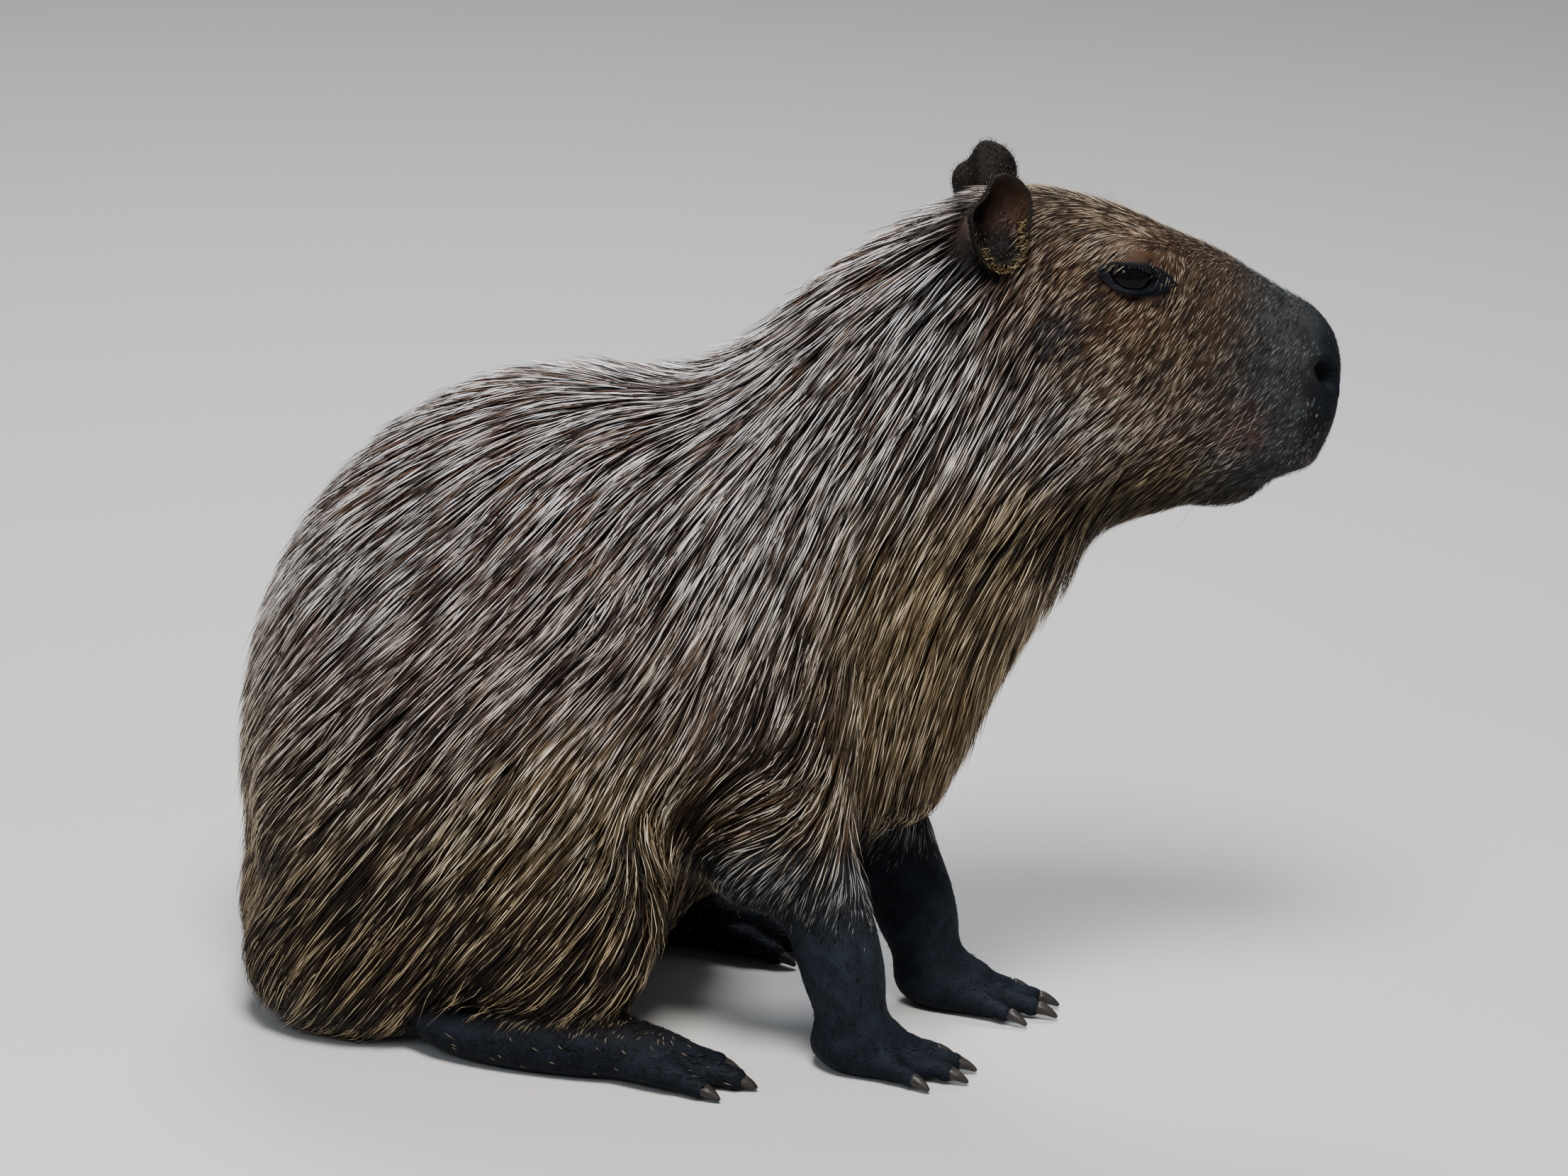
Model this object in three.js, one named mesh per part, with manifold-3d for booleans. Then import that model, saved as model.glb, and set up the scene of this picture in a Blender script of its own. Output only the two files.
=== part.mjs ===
// A capybara sitting on its haunches with its forelegs straight, life size.
// Millimetres, +X is where the body faces, +Z is up, and the floor is at Z = 0.
// The animal is shaped straight and even on both sides. Its head is turned at the very end.
import * as THREE from "three";
import { mergeVertices } from "three/addons/utils/BufferGeometryUtils.js";
import Module from "manifold-3d";

const wasm = await Module();
wasm.setup();

// Gaps and turns
const GAP = 0.3; // left between two nodes that meet
const CUT = 0.6; // what a neighbour is grown by before it is cut out of a node
const HEAD_TURN = 15; // degrees, to the animal's left
const TURN_FROM = new THREE.Vector3(20, 0, 390); // where the neck starts to turn
const TURN_TO = new THREE.Vector3(130, 0, 480); // where the turn is complete
const TURN_PIVOT = 66; // X of the upright line that the head turns about

// The stance
const STRIDE = 36; // how far the left forefoot stands ahead of the right one
const STRIDE_TOP = 220; // height at which the left foreleg is no longer ahead
const FOREFOOT = new THREE.Vector3(75, 64, 0); // under the right forefoot, at its middle
const HINDFOOT = new THREE.Vector3(-112, 122, 0); // under the middle of a hind foot

// The coat: flat tapering locks that lie back and down over a core. Depths are measured inwards from
// the tips of the coat.
const CORE_DROP = 9; // the core under the locks, half way from the tips to the skin
const LOCK_ROOT = 6; // how much deeper than the core's surface a lock starts
const LOCK_SPACING = 62; // between the roots of neighbours
const LOCK_LENGTH = 108;
const LOCK_WIDTH = 66;
const LOCK_THICKNESS = 7;
const SOUND_STEP = 0.3; // least share of a step along a lock that each of its edges goes on by
const SOUND_BEND = 0.5; // cosine of the most that a lock bends in one step
const LOWEST_ROOT = 46; // height over the floor below which no lock grows

// The head
const EYE = new THREE.Vector3(202, 40.5, 520);
const EYE_RADIUS = 15.5;
const LID = 2.2; // thickness of the lids
const LID_HALF = 16.5; // from the middle of the eye to a corner of the lids
const LID_OPEN = 8.4; // half the height of the opening
const LID_TILT = 12; // degrees that the front corner is lower
const EAR_ROOT = new THREE.Vector3(121, 51, 534);
const MOUTH_FRONT = new THREE.Vector3(303, 0, 386);
const MOUTH_CORNER = new THREE.Vector3(250, 40, 379);
const MOUTH_GROOVE = 2.4; // half its width
const NOSTRIL = new THREE.Vector3(331, 25, 455);
const NOSTRIL_HALF = [9, 6, 11];
const NOSTRIL_TILT = -30;

const radians = THREE.MathUtils.degToRad;
const point = (x, y, z) => new THREE.Vector3(x, y, z);

// Masses: each is a rounded lump of the body out to the tips of its coat. at is its centre, half holds
// its half sizes, tilt lifts its front end in degrees, square above 2 makes it blockier, blend rounds the
// join to the masses before it, and pair puts one on each side.
const RUMP = { at: [-222, 0, 156], half: [131, 124, 172], tilt: 0, blend: 10 };
const SEAT = { at: [-264, 0, 50], half: [88, 96, 70], tilt: 0, blend: 30 };
const BARREL = { at: [-140, 0, 264], half: [182, 132, 164], tilt: 24, blend: 60 };
const BELLY = { at: [-122, 0, 180], half: [140, 112, 122], tilt: 10, blend: 40 };
const SHOULDERS = { at: [-8, 0, 316], half: [125, 110, 114], tilt: 32, blend: 60 };
const BRISKET = { at: [44, 0, 264], half: [80, 84, 118], tilt: 22, blend: 50 };
const NECK = { at: [86, 0, 415], half: [152, 86, 116], tilt: 46, blend: 56 };
const CHEST = { at: [110, 0, 322], half: [138, 62, 59], tilt: 64, square: 2.3, blend: 40 };
const UPPER_ARM = { at: [16, 70, 196], half: [50, 36, 84], tilt: -6, blend: 30, pair: true };
const THIGH = { at: [-196, 100, 146], half: [124, 52, 122], tilt: -8, blend: 30, pair: true };
const KNEE = { at: [-108, 118, 96], half: [66, 42, 66], tilt: 0, blend: 40, pair: true };
const HOCK = { at: [-258, 96, 44], half: [66, 46, 50], tilt: 0, blend: 40, pair: true };
const TRUNK = [RUMP, SEAT, BARREL, BELLY, SHOULDERS, BRISKET, NECK, CHEST, UPPER_ARM, THIGH, KNEE, HOCK];

const CRANIUM = { at: [156, 0, 496], half: [80, 49, 60], tilt: -5, blend: 50 };
const FOREHEAD = { at: [212, 0, 494], half: [80, 45, 50], tilt: -20, blend: 20 };
const BROW = { at: [202, 33, 533], half: [31, 15, 11], tilt: -14, blend: 14, pair: true };
const ORBIT = { at: [202, 36, 519], half: [28, 15, 17], tilt: -12, blend: 12, pair: true };
const CHEEK = { at: [176, 0, 434], half: [98, 63, 84], tilt: 10, blend: 30 };
const MUZZLE = { at: [272, 0, 458], half: [69, 40, 54], tilt: -24, square: 2.5, blend: 30 };
const SNOUT = { at: [294, 0, 441], half: [45, 38, 51], tilt: -6, square: 2.7, blend: 20 };
const LIPS = { at: [290, 0, 408], half: [44, 38, 22], tilt: -12, blend: 16 };
const JAW = { at: [226, 0, 400], half: [80, 42, 42], tilt: 4, blend: 26 };
const CHIN = { at: [276, 0, 375], half: [27, 20, 16], tilt: 8, blend: 10 };
const HEAD = [CRANIUM, FOREHEAD, BROW, ORBIT, CHEEK, MUZZLE, SNOUT, LIPS, JAW, CHIN];

const ELBOW = { at: [6, 74, 146], half: [36, 30, 40], tilt: 0, blend: 24 };
const FOREARM = { at: [48, 70, 112], half: [29, 25, 84], tilt: 14, blend: 24 };
const WRIST = { at: [64, 65, 56], half: [23, 21, 46], tilt: 10, blend: 16 };
const FORELEG = [ELBOW, FOREARM, WRIST];

// Where a limb is parted from the trunk: rounded pieces of space
const ARM_PART = { at: [16, 100, 158], half: [62, 62, 92] };
const THIGH_PART = { at: [-186, 174, 106], half: [168, 114, 144] };

const PAW_HALF = [34, 27, 19];
const HIND_PAW_HALF = [92, 27, 24];

// How far a place lies outside a mass; less than 0 inside it
function outsideMass(mass, p) {
  const { at, half, tilt, square = 2, pair } = mass;
  const dx = p.x - at[0];
  const dy = (pair ? Math.abs(p.y) : p.y) - at[1];
  const dz = p.z - at[2];
  const c = Math.cos(radians(tilt));
  const s = Math.sin(radians(tilt));
  const shares = [dx * c + dz * s, dy, dz * c - dx * s].map((value, i) => Math.abs(value) / half[i]);
  const ring = shares.reduce((sum, share) => sum + share ** square, 0) ** (1 / square);
  if (ring < 1e-4) return -Math.min(...half);
  const slopes = shares.map((share, i) => share ** (square - 1) / half[i]);
  return (ring - 1) / (ring ** (1 - square) * Math.hypot(...slopes));
}

function outside(masses, p) {
  let depth = Infinity;
  for (const mass of masses) {
    const next = outsideMass(mass, p);
    const overlap = Math.max(mass.blend - Math.abs(depth - next), 0);
    depth = Math.min(depth, next) - (overlap * overlap) / (4 * mass.blend);
  }
  return depth;
}

// How far the core lies below the tips at a place: nothing on the face and on the bare lower legs
function coreDrop(p) {
  const napeShare = THREE.MathUtils.smoothstep(behindNape(p), -45, 25);
  const legShare = THREE.MathUtils.smoothstep(p.z, 85, 165);
  const ahead = THREE.MathUtils.smoothstep(p.x, -60, -20);
  return CORE_DROP * napeShare * (1 + (legShare - 1) * ahead);
}

// How far the core's surface, moved out by grow, lies from a point inside along a direction
function reach(masses, from, way, grow, most = 320) {
  const depth = (d) => {
    const p = from.clone().addScaledVector(way, d);
    return outside(masses, p) + coreDrop(p) - grow;
  };
  const step = most / 64;
  let far = step;
  while (far < most && depth(far) < 0) far += step;
  let near = far - step;
  for (let i = 0; i < 20; i++) {
    const middle = (near + far) / 2;
    if (depth(middle) < 0) near = middle;
    else far = middle;
  }
  return near;
}

// The head and the front of the neck turn about an upright line, more and more from TURN_FROM to TURN_TO
function turned(p) {
  const along = p.clone().sub(TURN_FROM).dot(TURN_TO.clone().sub(TURN_FROM));
  const share = THREE.MathUtils.clamp(along / TURN_TO.distanceToSquared(TURN_FROM), 0, 1);
  const angle = radians(HEAD_TURN) * share * share * (3 - 2 * share);
  const x = p.x - TURN_PIVOT;
  return point(
    TURN_PIVOT + x * Math.cos(angle) - p.y * Math.sin(angle),
    x * Math.sin(angle) + p.y * Math.cos(angle),
    p.z,
  );
}

const turnedRows = (rows) => bodyOfRows(rows.map((row) => row.map(turned)));

// A solid of the head, turned as a whole
function onHead(solid) {
  const turn = new THREE.Matrix4().makeTranslation(TURN_PIVOT, 0, 0);
  turn.multiply(new THREE.Matrix4().makeRotationZ(radians(HEAD_TURN)));
  turn.multiply(new THREE.Matrix4().makeTranslation(-TURN_PIVOT, 0, 0));
  return solid.transform(turn.toArray());
}

// A closed body from rows of points: the first and last rows are one point each
function bodyOfRows(rows) {
  const around = rows[1].length;
  const geometry = new THREE.SphereGeometry(1, around, rows.length - 1);
  const place = geometry.getAttribute("position");
  rows.forEach((row, r) => {
    for (let i = 0; i <= around; i++) {
      const p = row.length === 1 ? row[0] : row[i % around];
      place.setXYZ(r * (around + 1) + i, p.x, p.y, p.z);
    }
  });
  return solidOf(geometry);
}

// A three.js geometry as a manifold solid, with its faces turned out
function solidOf(geometry) {
  const bare = geometry.clone();
  bare.deleteAttribute("normal");
  bare.deleteAttribute("uv");
  const merged = mergeVertices(bare, 1e-3);
  const place = merged.getAttribute("position");
  const corners = new Uint32Array(merged.index.array);
  const [a, b, c] = [point(), point(), point()];
  let volume = 0;
  for (let i = 0; i < corners.length; i += 3) {
    a.fromBufferAttribute(place, corners[i]);
    b.fromBufferAttribute(place, corners[i + 1]);
    c.fromBufferAttribute(place, corners[i + 2]);
    volume += a.dot(b.cross(c));
  }
  if (volume < 0) {
    for (let i = 0; i < corners.length; i += 3) {
      [corners[i + 1], corners[i + 2]] = [corners[i + 2], corners[i + 1]];
    }
  }
  return new wasm.Manifold(
    new wasm.Mesh({ numProp: 3, vertProperties: place.array, triVerts: corners }),
  );
}

const join = (pieces) => wasm.Manifold.union(pieces);

function boxSolid(low, high) {
  const size = high.clone().sub(low);
  const geometry = new THREE.BoxGeometry(size.x, size.y, size.z);
  geometry.translate((low.x + high.x) / 2, (low.y + high.y) / 2, (low.z + high.z) / 2);
  return solidOf(geometry);
}

function ballSolid(at, half, tilt = 0, around = 16, rows = 10) {
  const geometry = new THREE.SphereGeometry(1, around, rows);
  geometry.scale(half[0], half[1], half[2]);
  geometry.rotateY(-radians(tilt));
  geometry.translate(at.x, at.y, at.z);
  return solidOf(geometry);
}

const FLOOR = boxSolid(point(-2000, -2000, -500), point(2000, 2000, 0));
const mirrored = (solid) => solid.mirror([0, 1, 0]);

// Stations along the trunk, from rump to snout: x, the tilt of the ring there in degrees, z
const SPINE = new THREE.CatmullRomCurve3(
  [
    [-275, 34, 158],
    [-205, 32, 212],
    [-110, 30, 270],
    [-35, 38, 322],
    [21, 43, 366],
    [85, 36, 412],
    [145, 24, 455],
    [195, 12, 458],
    [245, 2, 452],
    [300, -5, 440],
  ].map(([x, tilt, z]) => point(x, tilt, z)),
);
const WITHERS = 4 / 9; // share of the spine's stations where the torso ends
const NAPE = 6 / 9; // and where the neck ends

// How far a place lies behind the seam between head and neck
function behindNape(p) {
  const seam = SPINE.getPoint(NAPE);
  const tilt = radians(seam.y);
  return (seam.x - p.x) * Math.cos(tilt) + (seam.z - p.z) * Math.sin(tilt);
}

function behindWithers(p) {
  const seam = SPINE.getPoint(WITHERS);
  const tilt = radians(seam.y);
  return (seam.x - p.x) * Math.cos(tilt) + (seam.z - p.z) * Math.sin(tilt);
}

// An angle round a ring from its top, with the points drawn together low down where low is above 1
function ringAngle(turn, low) {
  const half = 1 - Math.abs(1 - 2 * turn);
  const angle = Math.PI * (1 - (1 - half) ** low);
  return turn < 0.5 ? angle : 2 * Math.PI - angle;
}

// The ring of the trunk at a share of the spine, or the fan that closes one of its ends
function trunkRow(masses, share, grow, around, fan = 0, shift = 0, low = 1) {
  const station = SPINE.getPoint(share);
  const tilt = radians(station.y);
  const ahead = point(Math.cos(tilt), 0, Math.sin(tilt));
  const up = point(-Math.sin(tilt), 0, Math.cos(tilt));
  const centre = point(station.x, 0, station.z).addScaledVector(ahead, shift);
  const row = [];
  for (let i = 0; i < around; i++) {
    const angle = ringAngle((i + 0.5) / around, low);
    const out = up.clone().multiplyScalar(Math.cos(angle));
    out.y += Math.sin(angle);
    out.multiplyScalar(Math.cos(fan)).addScaledVector(ahead, Math.sin(fan));
    row.push(centre.clone().addScaledVector(out, reach(masses, centre, out, grow)));
  }
  return row;
}

function trunkEnd(masses, share, grow, side) {
  const station = SPINE.getPoint(share);
  const tilt = radians(station.y);
  const centre = point(station.x, 0, station.z);
  const way = point(Math.cos(tilt), 0, Math.sin(tilt)).multiplyScalar(side);
  return [centre.clone().addScaledVector(way, reach(masses, centre, way, grow))];
}

function flatEnd(share, shift) {
  const station = SPINE.getPoint(share);
  const tilt = radians(station.y);
  return [point(station.x + shift * Math.cos(tilt), 0, station.z + shift * Math.sin(tilt))];
}

const WHOLE = [...TRUNK, ...HEAD];
const between = (from, to, steps, first = 0, last = steps) => {
  const shares = [];
  for (let i = first; i <= last; i++) shares.push(from + ((to - from) * i) / steps);
  return shares;
};

const LOW = 1.3; // how the points of the torso's rings are drawn together towards the floor

function torsoSolid(grow) {
  const around = 28;
  const rows = [trunkEnd(WHOLE, 0, grow, -1)];
  for (const fan of [-72, -54, -36, -18]) {
    rows.push(trunkRow(WHOLE, 0, grow, around, radians(fan), 0, LOW));
  }
  for (const share of between(0, WITHERS, 10, 0, 9)) {
    rows.push(trunkRow(WHOLE, share, grow, around, 0, 0, LOW));
  }
  const shift = grow - GAP / 2;
  rows.push(trunkRow(WHOLE, WITHERS, grow, around, 0, shift, LOW));
  rows.push(flatEnd(WITHERS, shift));
  return turnedRows(rows).subtract(FLOOR);
}

function neckSolid(grow) {
  const around = 24;
  const shift = grow - GAP / 2;
  const rows = [flatEnd(WITHERS, -shift), trunkRow(WHOLE, WITHERS, grow, around, 0, -shift)];
  for (const share of between(WITHERS, NAPE, 5, 1, 4)) rows.push(trunkRow(WHOLE, share, grow, around));
  rows.push(trunkRow(WHOLE, NAPE, grow, around, 0, shift));
  rows.push(flatEnd(NAPE, shift));
  return turnedRows(rows);
}

function skullSolid(grow) {
  const around = 24;
  const shift = grow - GAP / 2;
  const rows = [flatEnd(NAPE, -shift), trunkRow(WHOLE, NAPE, grow, around, 0, -shift)];
  for (const share of between(NAPE, 1, 13, 1, 13)) rows.push(trunkRow(WHOLE, share, grow, around));
  for (const fan of [15, 30, 46, 66]) rows.push(trunkRow(WHOLE, 1, grow, around, radians(fan)));
  rows.push(trunkEnd(WHOLE, 1, grow, 1));
  return turnedRows(rows);
}

// The meshes
const animal = new THREE.Group();

function addNode(name, solid, material) {
  const whole = solid.decompose().reduce((a, b) => (a.volume() > b.volume() ? a : b));
  const mesh = whole.getMesh();
  const place = new Float32Array(mesh.numVert * 3);
  for (let i = 0; i < mesh.numVert; i++) {
    const at = mesh.vertProperties.subarray(i * mesh.numProp, i * mesh.numProp + 3);
    place.set(at, i * 3);
  }
  const geometry = new THREE.BufferGeometry();
  geometry.setAttribute("position", new THREE.BufferAttribute(place, 3));
  geometry.setIndex(new THREE.BufferAttribute(mesh.triVerts, 1));
  geometry.computeVertexNormals();
  const node = new THREE.Mesh(geometry, material);
  node.name = name;
  animal.add(node);
}

const coat = new THREE.MeshStandardMaterial({ color: 0x7a6350, roughness: 0.9, metalness: 0 });
const footSkin = new THREE.MeshStandardMaterial({ color: 0x35302f, roughness: 0.75, metalness: 0 });
const earSkin = new THREE.MeshStandardMaterial({ color: 0x2b2422, roughness: 0.7, metalness: 0 });
const eyeGloss = new THREE.MeshStandardMaterial({ color: 0x0b0908, roughness: 0.08, metalness: 0 });
const claw = new THREE.MeshStandardMaterial({ color: 0x241f1d, roughness: 0.5, metalness: 0 });

// A limb: rings square to a line of stations, with a rounded or a flat end
function limbSolid(masses, line, grow, around, steps, flatTop = false, flatFoot = false) {
  const curve = new THREE.CatmullRomCurve3(line);
  const rows = [];
  const ring = (share, fan) => {
    const centre = curve.getPoint(share);
    const ahead = curve.getTangent(share);
    const side = point(0, 1, 0).addScaledVector(ahead, -ahead.y).normalize();
    const up = side.clone().cross(ahead);
    const row = [];
    for (let i = 0; i < around; i++) {
      const angle = (2 * Math.PI * i) / around;
      const out = side.clone().multiplyScalar(Math.cos(angle)).addScaledVector(up, Math.sin(angle));
      out.multiplyScalar(Math.cos(fan)).addScaledVector(ahead, Math.sin(fan));
      row.push(centre.clone().addScaledVector(out, reach(masses, centre, out, grow, 200)));
    }
    return row;
  };
  const end = (share, side) => {
    const centre = curve.getPoint(share);
    const way = curve.getTangent(share).multiplyScalar(side);
    return [centre.clone().addScaledVector(way, reach(masses, centre, way, grow, 200))];
  };
  if (flatTop) rows.push([curve.getPoint(0)]);
  else {
    rows.push(end(0, -1));
    for (const fan of [-60, -30]) rows.push(ring(0, radians(fan)));
  }
  for (const share of between(0, 1, steps)) rows.push(ring(share, 0));
  if (flatFoot) rows.push([curve.getPoint(1)]);
  else {
    for (const fan of [30, 60]) rows.push(ring(1, radians(fan)));
    rows.push(end(1, 1));
  }
  return bodyOfRows(rows);
}

const striding = (masses, stride) =>
  masses.map((mass) => ({
    ...mass,
    at: [mass.at[0] + stride * Math.max(0, 1 - mass.at[2] / STRIDE_TOP), mass.at[1], mass.at[2]],
  }));

const ANKLE = 34; // height of the seam between a foreleg and its foot

// The whole foreleg from the elbow down into its foot, which the seam at the ankle then parts
function forelegLoft(stride, grow) {
  const masses = striding(FORELEG, stride);
  const paw = { at: [FOREFOOT.x + stride, FOREFOOT.y, 16], half: PAW_HALF, tilt: 0, blend: 18 };
  const line = [masses[0].at, masses[1].at, masses[2].at].map((at) => point(...at));
  line[0].z += 12;
  line.push(point(FOREFOOT.x + stride - 4, FOREFOOT.y, 17));
  return limbSolid([...masses, paw], line, grow, 12, 8);
}

const slab = (low, high) => boxSolid(point(-900, -900, low), point(900, 900, high));

function forelegSolid(stride, grow) {
  return forelegLoft(stride, grow).subtract(slab(-100, ANKLE + GAP / 2 - grow));
}

// A rounded piece of space that parts a limb from the trunk
function partSolid(part, grow) {
  return ballSolid(point(...part.at), part.half.map((size) => size + grow), 0, 14, 8);
}

// A toe is a bent tapering tube with a flat end, where the claw goes on
function taper(line, widths, heights, around, steps, first, last) {
  const curve = new THREE.CatmullRomCurve3(line);
  const rows = [];
  const size = (list, share) => {
    const place = share * (list.length - 1);
    const i = Math.min(Math.floor(place), list.length - 2);
    return list[i] + (list[i + 1] - list[i]) * (place - i);
  };
  const ring = (share, scale) => {
    const centre = curve.getPoint(share);
    const ahead = (share === 0 && first) || (share === 1 && last) || curve.getTangent(share);
    const side = point(0, 0, 1).cross(ahead).normalize();
    const up = ahead.clone().cross(side);
    const row = [];
    for (let i = 0; i < around; i++) {
      const angle = (2 * Math.PI * (i + 0.5)) / around;
      row.push(
        centre
          .clone()
          .addScaledVector(side, Math.cos(angle) * size(widths, share) * scale)
          .addScaledVector(up, Math.sin(angle) * size(heights, share) * scale),
      );
    }
    return row;
  };
  rows.push([curve.getPoint(0)]);
  for (const share of between(0, 1, steps)) rows.push(ring(share, 1));
  rows.push([curve.getPoint(1)]);
  return bodyOfRows(rows);
}

const TOE_HALF_HEIGHT = 8;
const CLAW_LENGTH = 15;

// Toes: how far each reaches past the paw's middle, where it ends across, and half its width
const FORE_TOES = [
  { reach: 42, across: -26, half: 7 },
  { reach: 58, across: -9, half: 8 },
  { reach: 56, across: 10, half: 8 },
  { reach: 36, across: 27, half: 7 },
];
const HIND_TOES = [
  { reach: 100, across: -23, half: 9 },
  { reach: 116, across: 1, half: 10 },
  { reach: 98, across: 24, half: 8.5 },
];

function footSolids(at, pawHalf, toes, root, stride, withPaw) {
  const middle = point(at.x + stride, at.y, pawHalf[2] - 2);
  const paw = ballSolid(middle, pawHalf, 0, 12, 8);
  const pieces = withPaw ? [paw] : [];
  const claws = [];
  for (const toe of toes) {
    const start = point(middle.x + root, at.y + toe.across * 0.5, pawHalf[2] * 0.75);
    const end = point(middle.x + toe.reach, at.y + toe.across, TOE_HALF_HEIGHT);
    const knuckle = start.clone().lerp(end, 0.55);
    knuckle.z += 4;
    const way = end.clone().sub(knuckle).normalize();
    const toeHalf = [toe.half * 1.1, toe.half, toe.half * 0.85];
    const toeHeights = [pawHalf[2] * 0.7, TOE_HALF_HEIGHT + 1, TOE_HALF_HEIGHT * 0.85];
    pieces.push(
      taper([start, knuckle, end], toeHalf, toeHeights, 6, 3, undefined, way),
    );
    const clawRoot = end.clone().addScaledVector(way, GAP);
    const tip = clawRoot.clone().addScaledVector(way, CLAW_LENGTH);
    tip.z = 2.6;
    const bend = clawRoot.clone().lerp(tip, 0.5);
    bend.z += 1.2;
    claws.push(
      taper(
        [clawRoot, bend, tip],
        [toe.half * 0.72, toe.half * 0.66, 1.6],
        [TOE_HALF_HEIGHT * 0.72, TOE_HALF_HEIGHT * 0.5, 1.4],
        6,
        3,
        way,
      ),
    );
  }
  return { pieces, claws };
}

function addFeet(side, name, stride, above) {
  const face = (solid) => (side < 0 ? mirrored(solid) : solid);
  const fore = footSolids(FOREFOOT, PAW_HALF, FORE_TOES, 4, stride, false);
  const ankle = forelegLoft(stride, 0);
  const forefoot = join([...fore.pieces, ankle]).subtract(slab(ANKLE - GAP / 2, 900)).subtract(FLOOR);
  addNode(`forefoot_${name}`, face(forefoot), footSkin);
  fore.claws.forEach((solid, i) => addNode(`claw_fore_${name}_${i + 1}`, face(solid), claw));
  const hind = footSolids(HINDFOOT, HIND_PAW_HALF, HIND_TOES, 50, 0, true);
  addNode(`hindfoot_${name}`, face(join(hind.pieces).subtract(above).subtract(FLOOR)), footSkin);
  hind.claws.forEach((solid, i) => addNode(`claw_hind_${name}_${i + 1}`, face(solid), claw));
}

// The ear's edge seen from its own side: ahead and up from the middle of its root
const EAR_EDGE = [
  [1, 49], [11, 46], [18, 38], [20, 29], [19, 20], [15, 9], [10, -3], [-2, -9],
  [-13, -7], [-18, 3], [-20, 13], [-21, 22], [-18, 29], [-12, 34], [-8, 40], [-5, 46],
];
// From the floor of the cup over the rim and down the back: share of the way out to the edge, and how
// far out from the head
const EAR_PROFILE = [
  [0.3, -6], [0.62, -4], [0.84, 2], [0.94, 6], [1, 5], [0.98, 0], [0.8, -7], [0.42, -12],
];

function earSolid() {
  const middle = [0, 17];
  const rows = [[point(middle[0], -6, middle[1])]];
  for (const [share, out] of EAR_PROFILE) {
    const row = EAR_EDGE.map(([ahead, up]) =>
      point(middle[0] + (ahead - middle[0]) * share, out, middle[1] + (up - middle[1]) * share));
    rows.push(row);
  }
  rows.push([point(middle[0], -13, middle[1])]);
  return bodyOfRows(rows);
}

function placedByEar(solid) {
  const turn = new THREE.Matrix4();
  turn.makeRotationFromEuler(new THREE.Euler(radians(16), 0, radians(-14), "ZYX"));
  turn.setPosition(EAR_ROOT);
  return solid.transform(turn.toArray());
}

// The lids: a skin over the eyeball, open in a slanting oval
const lidBall = () => ballSolid(EYE, [EYE_RADIUS + LID, EYE_RADIUS + LID, EYE_RADIUS + LID], 0, 16, 10);
const lidOpening = () =>
  ballSolid(point(EYE.x, EYE.y + 18, EYE.z - 0.5), [LID_HALF, 24, LID_OPEN], -LID_TILT, 16, 6);

// The line of the mouth: a round groove along the surface, from one corner round the front to the other
function mouthSolid() {
  const near = [];
  for (const share of [-0.12, 0.08, 0.3, 0.55, 0.78, 0.92]) {
    const middle = point(0, 0, 0).lerpVectors(MOUTH_CORNER, MOUTH_FRONT, share);
    const out = point(share * share * 1.2, 1, 0).normalize();
    near.push(middle.clone().setY(0).addScaledVector(out, reach(WHOLE, middle.clone().setY(0), out, 0)));
  }
  const front = point(MOUTH_FRONT.x - 60, 0, MOUTH_FRONT.z);
  front.x += reach(WHOLE, front, point(1, 0, 0), 0);
  const far = near.map((p) => point(p.x, -p.y, p.z)).reverse();
  const path = new THREE.CatmullRomCurve3([...near, front, ...far].map(turned));
  const section = new THREE.Shape();
  section.absarc(0, 0, MOUTH_GROOVE, 0, Math.PI * 2);
  const settings = { steps: 16, extrudePath: path, curveSegments: 2, bevelEnabled: false };
  return solidOf(new THREE.ExtrudeGeometry(section, settings));
}

// The hollow of the ear goes on into the side of the head
const CUP_AT = point(1, 4, 16);
const CUP_HALF = [15, 14, 23];

function cupSolid(grow) {
  return placedByEar(ballSolid(CUP_AT, CUP_HALF.map((size) => size - grow), 0, 12, 8));
}

function headSolid(grow) {
  const socket = ballSolid(EYE, [EYE_RADIUS + GAP, EYE_RADIUS + GAP, EYE_RADIUS + GAP], 0, 14, 10);
  const cup = cupSolid(0);
  const nostril = ballSolid(NOSTRIL, NOSTRIL_HALF, NOSTRIL_TILT, 10, 6);
  const lid = lidBall();
  const pair = (solid) => [onHead(solid), onHead(mirrored(solid))];
  const skull = join([withLocks("head", skullSolid(grow), grow), ...pair(lid)]);
  const holes = [socket, lidOpening(), cup, nostril].flatMap(pair);
  return skull.subtract(join([...holes, mouthSolid()]));
}

// Even random numbers that are the same on every run
let seed = 20;
function random() {
  seed = (seed * 1664525 + 1013904223) % 4294967296;
  return seed / 4294967296;
}

const around = (middle, spread) => middle + (random() * 2 - 1) * spread;

// All that the coat grows on, for the side a place is on
const COATED = [STRIDE, 0].map((stride) => [
  ...WHOLE,
  ...striding(FORELEG, stride).map((mass) => ({ ...mass, pair: true })),
]);
const coated = (p) => outside(COATED[p.y > 0 ? 0 : 1], p);

function outwards(p) {
  const step = 1.5;
  const slope = ["x", "y", "z"].map((axis) => {
    const [high, low] = [p.clone(), p.clone()];
    high[axis] += step;
    low[axis] -= step;
    return coated(high) - coated(low);
  });
  return point(...slope).normalize();
}

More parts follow.
